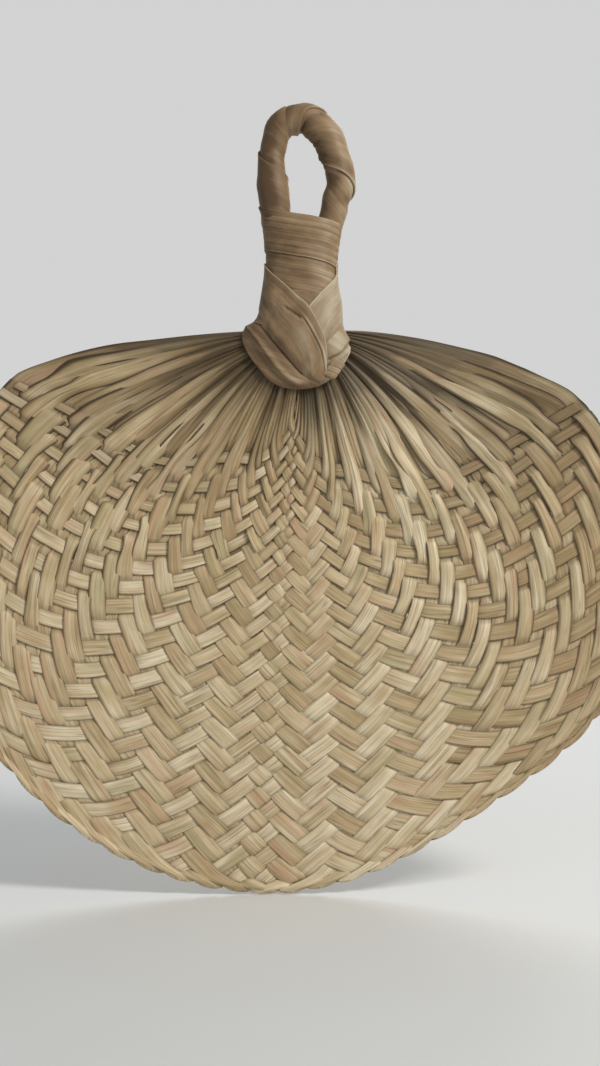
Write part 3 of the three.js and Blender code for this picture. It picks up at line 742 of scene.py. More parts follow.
def grain_pattern(tree, across, along, detail):
    """Noise drawn out along the leaf: across and along are its sizes in millimetres."""
    place = add_node(tree, "ShaderNodeUVMap").outputs["UV"]
    parts = add_node(tree, "ShaderNodeSeparateXYZ", {"Vector": place}).outputs
    own = leaf_tints(tree)["Blue"]
    spread = {}
    scales = (("X", parts["X"], 1 / across), ("Y", parts["Y"], 1 / along), ("Z", own, PATTERN_APART))
    for axis, value, scale in scales:
        scaled = add_node(tree, "ShaderNodeMath", {0: value, 1: scale}, operation="MULTIPLY")
        spread[axis] = scaled.outputs[0]
    spot = add_node(tree, "ShaderNodeCombineXYZ", spread).outputs[0]
    noise = add_node(tree, "ShaderNodeTexNoise", {
        "Vector": spot, "Scale": 1.0, "Detail": detail, "Roughness": 0.55})
    return noise.outputs["Fac"]


def leaf_colour(tree, shifts, stops, blends):
    """Colour of a dried leaf: its own tone shifted by patterns, through a ramp, with shades blended in.

    A shift is a pattern and how far it goes either way. A blend is a pattern, the values where it starts and
    is full, its strength when full, the shade and the kind of blend.
    """
    tone = leaf_tints(tree)["Red"]
    for pattern, most in shifts:
        shift = add_node(tree, "ShaderNodeMapRange", {
            "Value": pattern, "From Min": NOISE_LOW, "From Max": NOISE_HIGH, "To Min": -most, "To Max": most})
        links = {0: tone, 1: shift.outputs["Result"]}
        tone = add_node(tree, "ShaderNodeMath", links, operation="ADD").outputs[0]
    base = add_node(tree, "ShaderNodeValToRGB", {"Fac": tone}, stops).outputs["Color"]
    for pattern, start, full, strength, shade, kind in blends:
        share = add_node(tree, "ShaderNodeMapRange", {
            "Value": pattern, "From Min": start, "From Max": full, "To Max": strength})
        links = {0: share.outputs["Result"], 6: base, 7: (*shade, 1)}
        base = add_node(tree, "ShaderNodeMix", links, data_type="RGBA", blend_type=kind).outputs[2]
    return base


def dress(tree, shader, base, height, strength, depth):
    """Gives the shader its colour and a bump of the given pattern; depth is in millimetres."""
    tree.links.new(base, shader.inputs["Base Color"])
    bump = add_node(
        tree, "ShaderNodeBump", {"Height": height, "Strength": strength, "Distance": depth * MM})
    tree.links.new(bump.outputs["Normal"], shader.inputs["Normal"])


def roughen(tree, shader, grain, in_grooves, on_ribs):
    """Makes the shader rougher in the grooves of a grain than on its ribs."""
    rough = add_node(tree, "ShaderNodeMapRange", {
        "Value": grain, "From Min": NOISE_LOW, "From Max": NOISE_HIGH,
        "To Min": in_grooves, "To Max": on_ribs})
    tree.links.new(rough.outputs["Result"], shader.inputs["Roughness"])


def split_leaf():
    """Dried leaf split into strips: matt straw with fibres, greener and rosier streaks, and edges and
    crossings darkened by staining and painted shade.

    The real fibres are about 0.2 mm apart; they are drawn about 0.6 mm apart so that they show.
    """
    known = bpy.data.materials.get("split_dried_leaf")
    if known:
        return known
    shades = bpy.context.scene.fan_colours
    made, tree, shader = blank_material("split_dried_leaf")
    stain_and_shade = leaf_tints(tree)["Green"]
    fibres = grain_pattern(tree, 0.6, 26.0, 3.0)
    bands = grain_pattern(tree, 1.9, 60.0, 2.0)
    patches = grain_pattern(tree, 7.0, 16.0, 2.0)
    drift = grain_pattern(tree, 5.0, 45.0, 1.0)
    creases = grain_pattern(tree, 2.4, 95.0, 1.0)
    # Thin dark lines along the strip: painted shade of fine creases.
    off_line = add_node(tree, "ShaderNodeMath", {0: creases, 1: 0.5}, operation="SUBTRACT").outputs[0]
    off_line = add_node(tree, "ShaderNodeMath", {0: off_line}, operation="ABSOLUTE").outputs[0]
    base = leaf_colour(
        tree, [(bands, 0.2), (patches, 0.14)],
        [(0.0, shades.tan), (0.45, shades.straw), (0.95, shades.cream)],
        [(drift, 0.55, 0.72, 0.55, shades.olive, "MIX"),
         (drift, 0.45, 0.3, 0.6, shades.rose, "MIX"),
         (fibres, 0.52, 0.25, 0.5, shades.tan, "MULTIPLY"),
         (off_line, 0.03, 0.0, 0.4, shades.stain_and_shade, "MIX"),
         # The Green tint holds staining and painted shade: the staining colour over all of it, the gap colour
         # of painted shade where it is deepest.
         (stain_and_shade, 0.1, 1.0, 0.8, shades.stain_and_shade, "MIX"),
         (stain_and_shade, 0.8, 1.0, 0.8, shades.gap, "MIX")])
    shader.inputs["IOR"].default_value = 1.42
    roughen(tree, shader, fibres, 0.72, 0.5)
    ribbed = add_node(tree, "ShaderNodeMath", {0: fibres, 1: bands}, operation="ADD").outputs[0]
    dress(tree, shader, base, ribbed, 0.7, 0.22)
    return made


def broad_leaf():
    """Broad dried leaf of the handle: soft taupe, finely ribbed along it, paler in patches of wear and with
    painted highlights, darker with painted shade.
    """
    known = bpy.data.materials.get("broad_wrapping_leaf")
    if known:
        return known
    shades = bpy.context.scene.fan_colours
    made, tree, shader = blank_material("broad_wrapping_leaf")
    stain_and_shade = leaf_tints(tree)["Green"]
    ribs = grain_pattern(tree, 0.55, 60.0, 3.0)
    bands = grain_pattern(tree, 2.6, 42.0, 2.0)
    patches = grain_pattern(tree, 9.0, 14.0, 3.0)
    base = leaf_colour(
        tree, [(bands, 0.09), (patches, 0.16)],
        [(0.05, shades.wrap_dark_and_shade), (0.45, shades.wrap_mid), (0.95, shades.wrap_pale_and_highlight)],
        [(ribs, 0.55, 0.25, 0.4, shades.wrap_dark_and_shade, "MIX"),
         # The Green tint here is mostly painted shade, in creases, slits and under lapping edges.
         (stain_and_shade, 0.1, 1.0, 0.8, shades.stain_and_shade, "MIX")])
    shader.inputs["IOR"].default_value = 1.43
    roughen(tree, shader, ribs, 0.62, 0.44)
    dress(tree, shader, base, ribs, 0.6, 0.2)
    return made


# Sizes of the bundle's coarse fibres in millimetres: across both ways, and along.
BUNDLE_GRAIN = (10 / 9, 10 / 9, 25)


def bundled_ends():
    """Dried leaf ends bound in a bundle: dull brown, with coarse fibres along it."""
    shades = bpy.context.scene.fan_colours
    made, tree, shader = blank_material("bundled_leaf_ends")
    place = add_node(tree, "ShaderNodeTexCoord").outputs["Object"]
    scale = [1 / (size * MM) for size in BUNDLE_GRAIN]
    drawn = add_node(tree, "ShaderNodeMapping", {"Vector": place, "Scale": scale}).outputs[0]
    noise = add_node(tree, "ShaderNodeTexNoise", {"Vector": drawn, "Scale": 1.0, "Detail": 3.0})
    noise = noise.outputs["Fac"]
    stops = [(NOISE_LOW, shades.stain_and_shade), (NOISE_HIGH, shades.tan)]
    base = add_node(tree, "ShaderNodeValToRGB", {"Fac": noise}, stops).outputs["Color"]
    shader.inputs["Roughness"].default_value = 0.8
    dress(tree, shader, base, noise, 0.6, 0.4)
    return made


def curve_through(points, count):
    """Evenly numbered points on a smooth curve through the given ones."""
    points = np.array(points, dtype=float)
    ends = np.concatenate([[2 * points[0] - points[1]], points, [2 * points[-1] - points[-2]]])
    place = np.linspace(0, len(points) - 1 - 1e-6, count)
    low = np.floor(place).astype(int)
    t = (place - low)[:, None]
    p0, p1, p2, p3 = ends[low], ends[low + 1], ends[low + 2], ends[low + 3]
    return 0.5 * (2 * p1 + (p2 - p0) * t + (2 * p0 - 5 * p1 + 4 * p2 - p3) * t ** 2
                  + (3 * p1 - p0 - 3 * p2 + p3) * t ** 3)


# Middle line of the loop's wrapped tube, left foot to right foot: x, z and the tube's radius.
LOOP_LINE = [
    (-11.5, -54, 5.8), (-12.8, -42, 7.6), (-14.5, -29, 8.4), (-15.1, -21, 7.6), (-14.7, -9.6, 6.8),
    (-10.8, 3.5, 7.1), (-0.2, 7.5, 7.9), (6.1, 5.2, 8.2), (13, -1.3, 8.5), (16.5, -9.6, 7.9),
    (19.9, -23.2, 7.7), (17.3, -35.8, 7.2), (15.2, -45, 6.6), (12.5, -56, 5.6)]
LOOP_FINE = curve_through(LOOP_LINE, 600)
LOOP_RUN = np.concatenate([[0], np.cumsum(np.hypot(*np.diff(LOOP_FINE[:, :2], axis=0).T))])
LOOP_PROBE = 1.5


def loop_frame(along):
    """Centre, radius and outward direction at shares along the loop's middle line."""
    place = np.clip(along, 0, 1) * LOOP_RUN[-1]
    x, z, radius = (np.interp(place, LOOP_RUN, column) for column in LOOP_FINE.T)
    ahead_x, ahead_z = (
        np.interp(place + LOOP_PROBE, LOOP_RUN, column) - np.interp(place - LOOP_PROBE, LOOP_RUN, column)
        for column in LOOP_FINE.T[:2])
    size = np.hypot(ahead_x, ahead_z) + 1e-9
    return x, z, radius, -ahead_z / size, ahead_x / size


# How far along the loop the upper edge of the wrapping leaf has come after each turn, in millimetres.
LAP_EDGES = [-14, 11, 37, 62, 71, 107, 139, 168]
LOOP_LEAF_WIDTH = 44
LOOP_TURN_RUN = 44  # pattern length of one turn
LOOP_SLIT = 75  # how far along the loop the wrapping gapes
LOOP_FLATNESS = 0.95
LOOP_TURN_ROWS = 96
LOOP_COLUMNS = 25


def loop_wrap_sections():
    """One broad leaf wound up one leg of the loop and down the other, each turn lapping the next."""
    turns = len(LAP_EDGES) - 1
    rows = turns * LOOP_TURN_ROWS
    turn = np.linspace(0, turns, rows)[:, None]
    c = np.linspace(0, 1, LOOP_COLUMNS)[None, :]
    lapped = curve_through([(edge, 0) for edge in LAP_EDGES], rows)[:, :1]
    whole = LOOP_RUN[-1]
    along = np.clip((lapped - LOOP_LEAF_WIDTH * (1 - c)) / whole, 0, 1)
    theta = math.pi / 2 - turn * 2 * math.pi + 0 * c
    x, z, radius, out_x, out_z = loop_frame(along)
    lift = -0.9 + 0.9 * c ** 1.5
    wrinkle = 0.1 * np.sin(c * 21 + turn * 3.1 + 1.5 * np.sin(turn * 5.3))
    wrinkle = wrinkle + 0.1 * np.sin(c * 33 - turn * 7.7) * np.sin(turn * 4.1 + 1)
    inner = smooth(0.1, -0.9, np.cos(theta))
    crumple = 0.4 * np.sin(along * 190 + 2.6 * np.sin(theta)) * inner * smooth(0.5, 0.58, along)
    crumple = crumple * (1 - smooth(0.68, 0.78, along))
    fold = 0.22 * np.sin(along * 64 + 1.6 * np.cos(theta)) * smooth(0.7, 0.76, along)
    fold = fold * (1 - smooth(0.84, 0.92, along))
    edge = 0.3 * smooth(0.93, 1.0, c)
    slit = np.exp(-((along * whole - LOOP_SLIT - 4 * np.cos(theta)) / 1.1) ** 2)
    slit = slit * smooth(0.1, 0.5, np.sin(theta))
    r = radius + lift + wrinkle + crumple + fold + edge - 0.9 * slit - 0.2
    x = x + r * np.cos(theta) * out_x
    z = z + r * np.cos(theta) * out_z
    y = -r * LOOP_FLATNESS * np.sin(theta)
    points = np.stack([x, y, z], axis=-1)
    place = np.stack([c * LOOP_LEAF_WIDTH + 0 * turn, turn * LOOP_TURN_RUN + 0 * c], axis=-1)
    before = np.interp(turn - 1, np.linspace(0, turns, rows), lapped[:, 0])
    # Painted shade on the turn where it lies under the lapping edge of the one before, in the troughs of
    # wrinkles and folds, and in the slit.
    hidden = smooth(0.0, 9.0, before - along * whole + 1.5)
    crease = smooth(0.1, -0.45, wrinkle + crumple + fold)
    painted_shade_and_stain = 0.75 * smooth(0.0, 0.25, hidden) + 0.45 * crease + 0.8 * slit
    # Painted light: a paler edge, paler raised wrinkles and folds, faces turned to the right lighter and to
    # the left darker, and painted shade on the left leg.
    tone = 0.32 + 0.2 * smooth(0.95, 1.0, c) + 0.3 * np.cos(theta) * out_x + 0.4 * (wrinkle + fold)
    tone = tone - 0.2 * smooth(0.46, 0.34, along)
    return points, place, wrap_tint(tone, painted_shade_and_stain, 0.37)


# The wrapped handle below the loop: drop, half widths to the left and right, half depth.
BODY = [
    (36, 20.8, 21.6, 9.2), (45, 19.7, 21.0, 9.6), (54, 18.6, 19.6, 10.1), (62, 18.0, 18.4, 10.6),
    (70, 17.5, 17.4, 11.0), (78, 18.2, 17.7, 11.3), (86, 19.6, 18.7, 11.4), (93, 21.6, 19.7, 11.2),
    (97, 25.0, 20.4, 10.9), (101, 29.6, 22.0, 10.4), (106, 30.7, 25.0, 9.8), (112, 30.2, 27.2, 8.9),
    (118, 29.5, 27.2, 7.9), (124, 29.0, 27.0, 7.0), (131, 29.0, 27.0, 6.2)]
BODY_FLATNESS = 0.9


def body_at(drop):
    """Half widths to the left and right and half depth of the handle at a drop."""
    fine = curve_through(BODY, 240)
    return [np.interp(drop, fine[:, 0], column) for column in fine.T[1:]]


def on_body(angle, drop, offset):
    """Point on the wrapped handle: angle 0 is its right side, a quarter turn its front."""
    left, right, deep = body_at(drop)
    cosine = np.cos(angle)
    sine = np.sin(angle)
    wide = np.where(cosine > 0, right, left)
    x = np.sign(cosine) * np.abs(cosine) ** BODY_FLATNESS * (wide + offset)
    y = -np.sign(sine) * np.abs(sine) ** BODY_FLATNESS * (deep + offset)
    return np.stack([x, y, -drop + 0 * angle], axis=-1)


def angle_at(x, drop):
    """Angle on the front of the handle at a sideways place."""
    left, right, _ = body_at(drop)
    share = np.clip(np.where(x > 0, x / right, x / left), -1, 1)
    return np.arccos(np.sign(share) * np.abs(share) ** (1 / BODY_FLATNESS))


def crease_height(x, drop, lines):
    """Height of soft creases: each line is its points, its height and its width."""
    total = 0 * x
    for points, height, width in lines:
        line = curve_through(points, 40)
        gap = np.hypot(x[..., None] - line[:, 0], drop[..., None] - line[:, 1])
        total = total + height * np.exp(-(gap.min(axis=-1) / width) ** 2)
    return total


# The neck's leaf, from the turn where it starts to the one where it ends.
NECK_FIRST = -0.3
NECK_LAST = 2.7
NECK_TOP = 37.5  # drop of its upper edge at the first turn, and how much a turn adds
NECK_PITCH = 18.3
NECK_LEAF_WIDTH = 21.5
NECK_TURN_RUN = 108  # pattern length of one turn
NECK_TURN_ROWS = 120
NECK_COLUMNS = 33


def neck_sections():
    """A leaf wound round the neck, down to the right across the front, each turn lapping the next."""
    rows = int((NECK_LAST - NECK_FIRST) * NECK_TURN_ROWS)
    turn = np.linspace(NECK_FIRST, NECK_LAST, rows)[:, None]
    c = np.linspace(0, 1, NECK_COLUMNS)[None, :]
    angle = math.pi - turn * 2 * math.pi + 0 * c
    top = NECK_TOP + NECK_PITCH * turn + 1.4 * np.sin(turn * math.pi) ** 2 - 62 * np.minimum(turn, 0)
    drop = top + NECK_LEAF_WIDTH * c
    ribs = 0.05 * np.sin(c * 37 + 0.8 * np.sin(turn * 2.2)) + 0.04 * np.sin(c * 83 + turn * 1.7)
    sag = 0.2 * np.sin(turn * 5.1 + c * 4) * np.sin(math.pi * c)
    lift = -0.35 + 0.8 * c - 0.8 * smooth(0.0, -0.2, turn)
    points = on_body(angle, drop, lift + ribs + sag)
    place = np.stack([c * NECK_LEAF_WIDTH + 0 * turn, turn * NECK_TURN_RUN + 0 * c], axis=-1)
    # Painted shade under the lower edge of the turn above and in the troughs of the ribs, and a darker streak
    # along the leaf.
    lapped = smooth(0.26, 0.14, c) * smooth(0.8, 0.9, turn)
    streak = np.exp(-((c - 0.55) / 0.12) ** 2) * (0.6 + 0.4 * np.sin(turn * 9))
    painted_shade_and_stain = 0.8 * lapped + 0.35 * smooth(0.02, -0.09, ribs) * (1 - lapped) + 0.2 * streak
    # Painted highlights on both edges and on the rib tops, and painted light brighter on the right side.
    tone = 0.33 + 0.25 * smooth(0.97, 1.0, c) + 0.2 * smooth(0.03, 0.0, c)
    tone = tone + 0.2 * np.cos(angle) + 1.2 * ribs
    return points, place, wrap_tint(tone, painted_shade_and_stain, 0.61)


# Soft folds of the skirt's front: points, sideways and drop, then height and width.
SKIRT_FOLDS = [
    ([(-26.5, 98), (-22.0, 104), (-18.0, 110), (-12.5, 118), (-7.5, 124), (-2.0, 128)], 1.4, 1.2),
    ([(-24.0, 108), (-19.0, 116), (-12.5, 123.5), (-5.0, 128.5)], -0.8, 2.6),
    ([(-23.5, 95), (-14.5, 105.5), (-5.3, 116), (0.5, 122)], -1.3, 1.4),
    ([(24.0, 107), (20.0, 112), (14.0, 115.5)], -1.2, 0.8),
    ([(26.0, 112), (22.0, 119), (18.0, 125)], -0.9, 0.8),
    ([(23.0, 113), (19.0, 120), (15.5, 126)], -0.7, 0.7),
]
SKIRT_TOP = 82
SKIRT_SIDE = 99.0  # its lower edge at the sides, and how much lower it is at the front
SKIRT_FRONT = 31.5
SKIRT_ROWS = 220
SKIRT_COLUMNS = 80


def skirt_sections():
    """A broad leaf laid round the throat, its lower edge turned in over the gathered strips."""
    angle = np.linspace(-math.pi / 2 - 0.15, 1.5 * math.pi + 0.25, SKIRT_ROWS)[:, None]
    v = np.linspace(0, 1, SKIRT_COLUMNS)[None, :]
    front = np.maximum((np.abs(np.sin(angle)) - 0.2) / 0.8, 0) ** 0.75
    edge = SKIRT_SIDE + SKIRT_FRONT * front + 0.6 * np.sin(angle * 3 + 1) * front
    drop = SKIRT_TOP + (edge - SKIRT_TOP) * v
    roll = smooth(0.9, 1.0, v)
    lap = 0.5 * (angle + math.pi / 2) / (2 * math.pi)
    probe = on_body(angle, drop, 0 * angle)
    folds = crease_height(probe[..., 0], drop, SKIRT_FOLDS) * (np.sin(angle) > -0.15)
    points = on_body(angle, drop, 0.3 + lap + folds - 2.4 * roll ** 2)
    place = np.stack([drop - 14 * np.cos(angle), angle * 24 + drop * 0.4], axis=-1)
    # Painted shade in the hollow folds and along the turned-in lower edge, and darker towards the back.
    painted_shade_and_stain = 0.75 * smooth(-0.25, -1.1, folds) + 0.4 * smooth(0.95, 1.0, v)
    painted_shade_and_stain = painted_shade_and_stain + 0.2 * smooth(0.0, 0.7, -np.sin(angle))
    # Painted highlights on the fold ridges and just above the turned-in edge, and painted light brighter
    # towards the right.
    tone = 0.34 + 0.3 * smooth(0.6, 1.3, folds) + 0.3 * smooth(6, 18, probe[..., 0]) * np.sin(angle)
    tone = tone + 0.2 * smooth(0.84, 0.93, v) * (1 - roll) + 0.2 * np.cos(angle)
    return points, place, wrap_tint(tone, painted_shade_and_stain, 0.83)


# Edges of the lapels, as sideways place or angle in degrees and drop, then their height over the handle, the
# width of a turned edge, their tone, which holds painted light that makes the right lapel paler than the
# left, and their soft folds.
RIGHT_LAPEL = {
    "upper": [
        (-110, 66), (-65, 66), (17.3, 66.5), (16.6, 72), (11.4, 79.6), (3.9, 88.8), (-1.0, 97), (-4.0, 105)],
    "lower": [
        (-110, 86), (-65, 91), (20.6, 96.5), (20.5, 99), (17.5, 104), (13.0, 108.5), (9.5, 113), (6.0, 118)],
    "base": 1.2, "hem": 0, "lit_tone": 0.6,
    "folds": [([(18.5, 84), (10.0, 96)], 0.5, 4.0)]}
LEFT_LAPEL = {
    "upper": [
        (255, 66), (210, 66), (-17.6, 66.4), (-9.7, 76.2), (0.0, 85.9), (5.2, 93), (9.4, 102), (11.6, 112),
        (11.2, 123)],
    "lower": [
        (255, 86), (210, 90), (-21.8, 94.5), (-19.0, 100), (-13.5, 106.5), (-7.5, 113.5), (-2.0, 120),
        (3.5, 125.5), (8.8, 127.5)],
    "base": 2.0, "hem": 5.4, "lit_tone": 0.38,
    "folds": [
        ([(-14, 84), (-6.0, 93), (0.0, 103), (4.0, 114)], 0.7, 3.2),
        ([(-7.0, 90.5), (-3.5, 93), (-0.9, 95.2)], -1.1, 0.8)]}
LEAST_ANGLE = 60  # an edge point's first value past this is an angle
LAPEL_ROWS = 110
LAPEL_COLUMNS = 61


def lapel_sections(upper, lower, base, hem, lit_tone, folds):
    """A leaf drawn round the handle between two edges; hem is the width of its turned free edge."""
    rows = LAPEL_ROWS
    top = curve_through([edge_point(point) for point in upper], rows)
    bottom = curve_through([edge_point(point) for point in lower], rows)
    c = np.linspace(0, 1, LAPEL_COLUMNS)[None, :, None]
    grid = top[:, None, :] * (1 - c) + bottom[:, None, :] * c
    angle, drop = grid[..., 0], grid[..., 1]
    share = c[..., 0]
    along = np.linspace(0, 1, rows)[:, None]
    probe = on_body(angle, drop, 0 * angle)
    steps = np.linalg.norm(np.diff(probe, axis=1), axis=2)
    inset = np.concatenate([np.zeros((rows, 1)), np.cumsum(steps, axis=1)], axis=1)
    far = np.linalg.norm(np.diff(probe[:, 0], axis=0), axis=1)
    far = np.concatenate([[0], np.cumsum(far)])[:, None]
    shown = smooth(0.5, 0.62, along) * (1 if hem else 0)
    hem_width = np.minimum(hem * (1.05 - 0.85 * smooth(0.72, 1.0, along)), 0.6 * inset[:, -1:])
    turned = shown * smooth(hem_width + 0.7, hem_width - 0.1, inset)
    crease = shown * np.exp(-((inset - hem_width - 0.7) / 0.6) ** 2)
    ridge = np.exp(-(inset / 0.7) ** 2) + 0.8 * shown * np.exp(-((inset - hem_width + 0.5) / 0.5) ** 2)
    bulge = 0.8 * np.sin(math.pi * share) * (0.4 + 0.6 * along)
    soft = crease_height(probe[..., 0], drop, folds) * (np.sin(angle) > -0.15)
    lower_tuck = -1.3 * smooth(0.84, 1.0, share)
    rise = base * (0.45 + 0.55 * smooth(0.15, 0.6, along)) + bulge
    rise = rise + 0.35 * turned + 0.18 * ridge - 0.3 * crease
    points = on_body(angle, drop, rise + soft + lower_tuck)
    place = np.stack([inset, far + 0 * share], axis=-1)
    # Painted shade in the crease inside the hem, in the hollow folds and along the lower edge.
    painted_shade_and_stain = 0.7 * crease + 0.6 * smooth(-0.2, -0.9, soft) + 0.5 * smooth(0.9, 1.0, share)
    # The lapel's own tone, painted light included, painted highlights on its edge, hem ridge and raised
    # folds, and painted light brighter towards the right.
    tone = 0.33 + (lit_tone - 0.33) * smooth(0.22, 0.42, along) + 0.5 * ridge
    tone = tone + 0.14 * np.cos(angle) + 0.15 * soft
    return points, place, wrap_tint(tone, painted_shade_and_stain, lit_tone)


def edge_point(point):
    """Angle and drop of a lapel's edge point, which is given by an angle or a sideways place."""
    first, drop = point
    if abs(first) > LEAST_ANGLE:
        return first * DEGREE, drop
    return float(angle_at(np.array(float(first)), drop)), drop


# The tucked end: its middle, sideways and as a drop, its lean, half its width and its length.
TUCK_X = 14.2
TUCK_DROP = 121.5
TUCK_LEAN = 35 * DEGREE
TUCK_HALF_WIDTH = 3.4
TUCK_LENGTH = 9.5
TUCK_ROWS = 40
TUCK_COLUMNS = 17


def tucked_sections():
    """The cut end of the wrapping leaf, folded into three layers."""
    along = np.linspace(0, 1, TUCK_ROWS)[:, None]
    c = np.linspace(-1, 1, TUCK_COLUMNS)[None, :]
    layers = 0.55 * np.floor(along * 2.999) * 0.5
    grooves = -0.5 * np.exp(-((along - 0.36) / 0.03) ** 2) - 0.5 * np.exp(-((along - 0.68) / 0.03) ** 2)
    sideways = c * TUCK_HALF_WIDTH
    down = along * TUCK_LENGTH - 1.5
    x = TUCK_X + sideways * math.cos(TUCK_LEAN) - (down - 4.0) * math.sin(TUCK_LEAN)
    drop = TUCK_DROP + sideways * math.sin(TUCK_LEAN) * 0.6 + (down - 4.0) * math.cos(TUCK_LEAN)
    rise = 2.4 + layers + grooves + 0.5 * (1 - c ** 2) - 1.2 * smooth(0.9, 1.0, along)
    points = on_body(angle_at(x, drop), drop, rise)
    place = np.stack([sideways + 0 * along, along * 20 + 0 * c], axis=-1)
    # Painted shade in the grooves between the layers, along the side edges and at the far end.
    painted_shade_and_stain = -1.4 * grooves + 0.5 * smooth(0.75, 1, np.abs(c)) + 0.4 * smooth(0.85, 1, along)
    return points, place, wrap_tint(0.55 + 0 * painted_shade_and_stain, painted_shade_and_stain, 0.23)


class FAN_OT_folded_leaves(bpy.types.Operator):
    """Weaves the leaves that turn at the lower edge"""

    bl_idname = "fan.folded_leaves"
    bl_label = "Folded leaves"

    def execute(self, context):
        leaves, turn_sum = leaf_count()
        weave_family("folded", [folded_strip(index) for index in range(turn_sum - leaves + 1, leaves)])
        return {"FINISHED"}


class FAN_OT_side_leaves(bpy.types.Operator):
    """Weaves the leaves that end at the side edges"""

    bl_idname = "fan.side_leaves"
    bl_label = "Side leaves"

    def execute(self, context):
        leaves, turn_sum = leaf_count()
        for side, word in ((1, "left"), (-1, "right")):
            weave_family(word, [hemmed_strip(side, index) for index in range(turn_sum - leaves + 1)])
        return {"FINISHED"}


class FAN_OT_loop_wrap(bpy.types.Operator):
    """Winds the broad leaf round the hanging loop"""

    bl_idname = "fan.loop_wrap"
    bl_label = "Loop wrap"

    def execute(self, context):
        wrap_piece("loop_wrapping", loop_wrap_sections(), "loop_wrap")
        return {"FINISHED"}


class FAN_OT_neck_band(bpy.types.Operator):
    """Winds the leaf round the neck"""

    bl_idname = "fan.neck_band"
    bl_label = "Neck band"

    def execute(self, context):
        wrap_piece("neck_wrapping", neck_sections(), "neck_band")
        return {"FINISHED"}


class FAN_OT_throat_skirt(bpy.types.Operator):
    """Lays the skirt over the throat"""

    bl_idname = "fan.throat_skirt"
    bl_label = "Throat skirt"

    def execute(self, context):
        wrap_piece("throat_cover", skirt_sections(), "throat_skirt")
        return {"FINISHED"}


class FAN_OT_lapels(bpy.types.Operator):
    """Crosses the two lapels over the skirt"""

    bl_idname = "fan.lapels"
    bl_label = "Lapels"

    def execute(self, context):
        wrap_piece("right_lapel_leaf", lapel_sections(**RIGHT_LAPEL), "right_lapel")
        wrap_piece("left_lapel_leaf", lapel_sections(**LEFT_LAPEL), "left_lapel")
        return {"FINISHED"}


class FAN_OT_tucked_end(bpy.types.Operator):
    """Tucks the cut end of the wrapping leaf under the lapels"""

    bl_idname = "fan.tucked_end"
    bl_label = "Tucked end"

    def execute(self, context):
        wrap_piece("tucked_leaf_end", tucked_sections(), "tucked_end")
        return {"FINISHED"}


class FAN_OT_hidden_bundle(bpy.types.Operator):
    """Finishes the leaf bundle and the lashing that the wrapping hides"""

    bl_idname = "fan.hidden_bundle"
    bl_label = "Bundle and lashing"

    def execute(self, context):
        made = bundled_ends()
        for name in ("stem_core", "loop_core", "throat_lashing"):
            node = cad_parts[name]
            node.data.materials.clear()
            node.data.materials.append(made)
        return {"FINISHED"}


# The studio, in metres: the floor under the fan, the lamps, and the frame that the camera sees at the blade.
FLOOR_GAP = 0.0015
FLOOR_RADIUS = 6
FLOOR_SIDES = 96
FLOOR_FADE = (0.35, 1.4)  # reaches between which the floor turns into the background
AMBIENT = (0.86, 0.93, 1.0, 1)
AMBIENT_STRENGTH = 0.36
# Name, place, aim, size, power and colour of each lamp.
LAMPS = (
    ("key_right", (0.9, -0.85, 0.75), (0, 0, -0.2), 0.4, 19.0, (1.0, 0.96, 0.9)),
    ("fill_left", (-1.1, -1.2, -0.1), (0, 0, -0.22), 1.0, 4.0, (0.92, 0.96, 1.0)),
    ("back_soft", (0.3, 1.4, 0.6), (0, 0, -0.2), 1.0, 14.0, (1.0, 0.98, 0.95)))
LENS = 50
SENSOR = 36
FRAME_HEIGHT = 0.5415
FRAME_X = -0.0008
FRAME_Z = -0.2029


def studio_paint():
    """Matt paint of the floor: an even pale grey that keeps the shadow and fades into the background."""
    shades = bpy.context.scene.fan_colours
    made, tree, shader = blank_material("pale_studio_floor")
    shader.inputs["Base Color"].default_value = (*shades.wall, 1)
    shader.inputs["Roughness"].default_value = 0.9
    place = add_node(tree, "ShaderNodeTexCoord").outputs["Object"]
    reach = add_node(tree, "ShaderNodeVectorMath", {0: place}, operation="LENGTH").outputs["Value"]
    away = add_node(
        tree, "ShaderNodeMapRange",
        {"Value": reach, "From Min": FLOOR_FADE[0], "From Max": FLOOR_FADE[1]},
        interpolation_type="SMOOTHSTEP")
    path = add_node(tree, "ShaderNodeLightPath").outputs
    links = {0: away.outputs["Result"], 1: path["Is Camera Ray"]}
    faded = add_node(tree, "ShaderNodeMath", links, operation="MULTIPLY").outputs[0]
    glow = add_node(tree, "ShaderNodeEmission", {"Color": (*shades.wall, 1)}).outputs["Emission"]
    blend = add_node(tree, "ShaderNodeMixShader", {0: faded, 1: shader.outputs["BSDF"], 2: glow})
    tree.links.new(blend.outputs[0], tree.nodes["Material Output"].inputs["Surface"])
    return made


def studio_floor():
    """A wide round floor just under the fan."""
    bpy.ops.object.select_all(action="DESELECT")
    bpy.ops.mesh.primitive_circle_add(
        vertices=FLOOR_SIDES, radius=FLOOR_RADIUS, fill_type="NGON",
        location=(0, 0, CAD_BOX[0][2] - FLOOR_GAP))
    floor = bpy.context.active_object
    floor.name = "studio_floor"
    floor.data.materials.append(studio_paint())


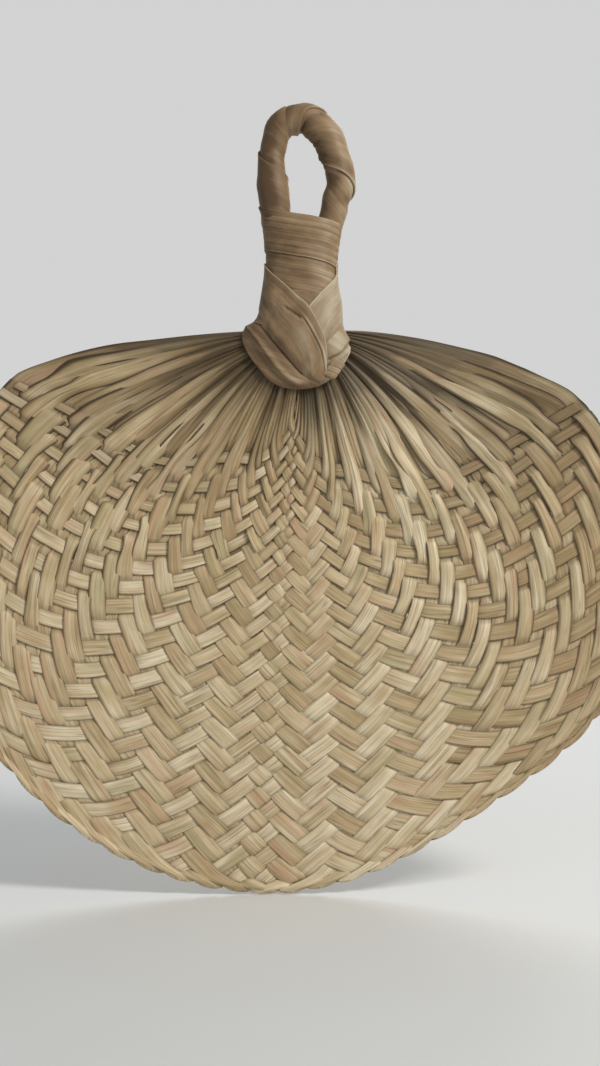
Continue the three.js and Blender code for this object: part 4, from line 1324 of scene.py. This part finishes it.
def studio_world():
    """Cool ambient light, with a plain pale background where it is seen."""
    world = bpy.data.worlds.new("studio_world")
    bpy.context.scene.world = world
    world.use_nodes = True
    tree = world.node_tree
    light = tree.nodes["Background"]
    light.inputs["Color"].default_value = AMBIENT
    light.inputs["Strength"].default_value = AMBIENT_STRENGTH
    shade = (*bpy.context.scene.fan_colours.wall, 1)
    pale = add_node(tree, "ShaderNodeBackground", {"Color": shade, "Strength": 1.0})
    path = add_node(tree, "ShaderNodeLightPath").outputs
    seen = path["Is Camera Ray"]
    for ray in ("Is Glossy Ray", "Is Transmission Ray"):
        seen = add_node(tree, "ShaderNodeMath", {0: seen, 1: path[ray]}, operation="MAXIMUM").outputs[0]
    mixed = add_node(
        tree, "ShaderNodeMixShader",
        {0: seen, 1: light.outputs["Background"], 2: pale.outputs["Background"]})
    tree.links.new(mixed.outputs[0], tree.nodes["World Output"].inputs["Surface"])


def studio_lamp(name, place, aim, size, power, shade):
    """A soft square lamp that faces its aim."""
    bpy.ops.object.light_add(type="AREA", location=place)
    lamp = bpy.context.active_object
    lamp.name = name
    lamp.data.size = size
    lamp.data.energy = power
    lamp.data.color = shade
    gap = [place[axis] - aim[axis] for axis in range(3)]
    flat = math.hypot(gap[0], gap[1])
    lamp.rotation_euler = (math.atan2(flat, gap[2]), 0, math.atan2(gap[0], -gap[1]))


def studio_camera():
    """A level camera square to the front, as far off as its frame needs."""
    view = bpy.data.cameras.new("front_camera")
    camera = bpy.data.objects.new("front_camera", view)
    bpy.context.scene.collection.objects.link(camera)
    view.sensor_fit = "VERTICAL"
    view.sensor_height = SENSOR
    view.lens = LENS
    view.clip_start = 0.01
    view.clip_end = 50
    camera.location = (FRAME_X, -FRAME_HEIGHT * LENS / SENSOR, FRAME_Z)
    camera.rotation_euler = (math.pi / 2, 0, 0)
    bpy.context.scene.camera = camera


class FAN_OT_stage(bpy.types.Operator):
    """Sets the floor, the lights, the background and the camera"""

    bl_idname = "fan.stage"
    bl_label = "Studio"

    def execute(self, context):
        studio_floor()
        studio_world()
        for lamp in LAMPS:
            studio_lamp(*lamp)
        studio_camera()
        context.scene.view_settings.view_transform = "Standard"
        return {"FINISHED"}


class FAN_PT_panel(bpy.types.Panel):
    """Lists the fan's pieces and sizes"""

    bl_label = "Plaited leaf fan"
    bl_idname = "FAN_PT_panel"
    bl_space_type = "VIEW_3D"
    bl_region_type = "UI"
    bl_category = "Fan"

    def draw(self, context):
        for group in (context.scene.fan_sizes, context.scene.fan_colours):
            for key in group.__annotations__:
                self.layout.prop(group, key)
        for step in STEPS:
            self.layout.operator(step.bl_idname)


STEPS = (
    FAN_OT_folded_leaves, FAN_OT_side_leaves, FAN_OT_loop_wrap, FAN_OT_neck_band, FAN_OT_throat_skirt,
    FAN_OT_lapels, FAN_OT_tucked_end, FAN_OT_hidden_bundle, FAN_OT_stage)
CLASSES = (FanSizes, FanColours, *STEPS, FAN_PT_panel)


def register():
    for kind in CLASSES:
        bpy.utils.register_class(kind)
    bpy.types.Scene.fan_sizes = bpy.props.PointerProperty(type=FanSizes)
    bpy.types.Scene.fan_colours = bpy.props.PointerProperty(type=FanColours)


def unregister():
    del bpy.types.Scene.fan_colours
    del bpy.types.Scene.fan_sizes
    for kind in reversed(CLASSES):
        bpy.utils.unregister_class(kind)


def main():
    register()
    bpy.ops.fan.folded_leaves()
    bpy.ops.fan.side_leaves()
    bpy.ops.fan.loop_wrap()
    bpy.ops.fan.neck_band()
    bpy.ops.fan.throat_skirt()
    bpy.ops.fan.lapels()
    bpy.ops.fan.tucked_end()
    bpy.ops.fan.hidden_bundle()
    bpy.ops.fan.stage()


if __name__ == "__main__":
    main()
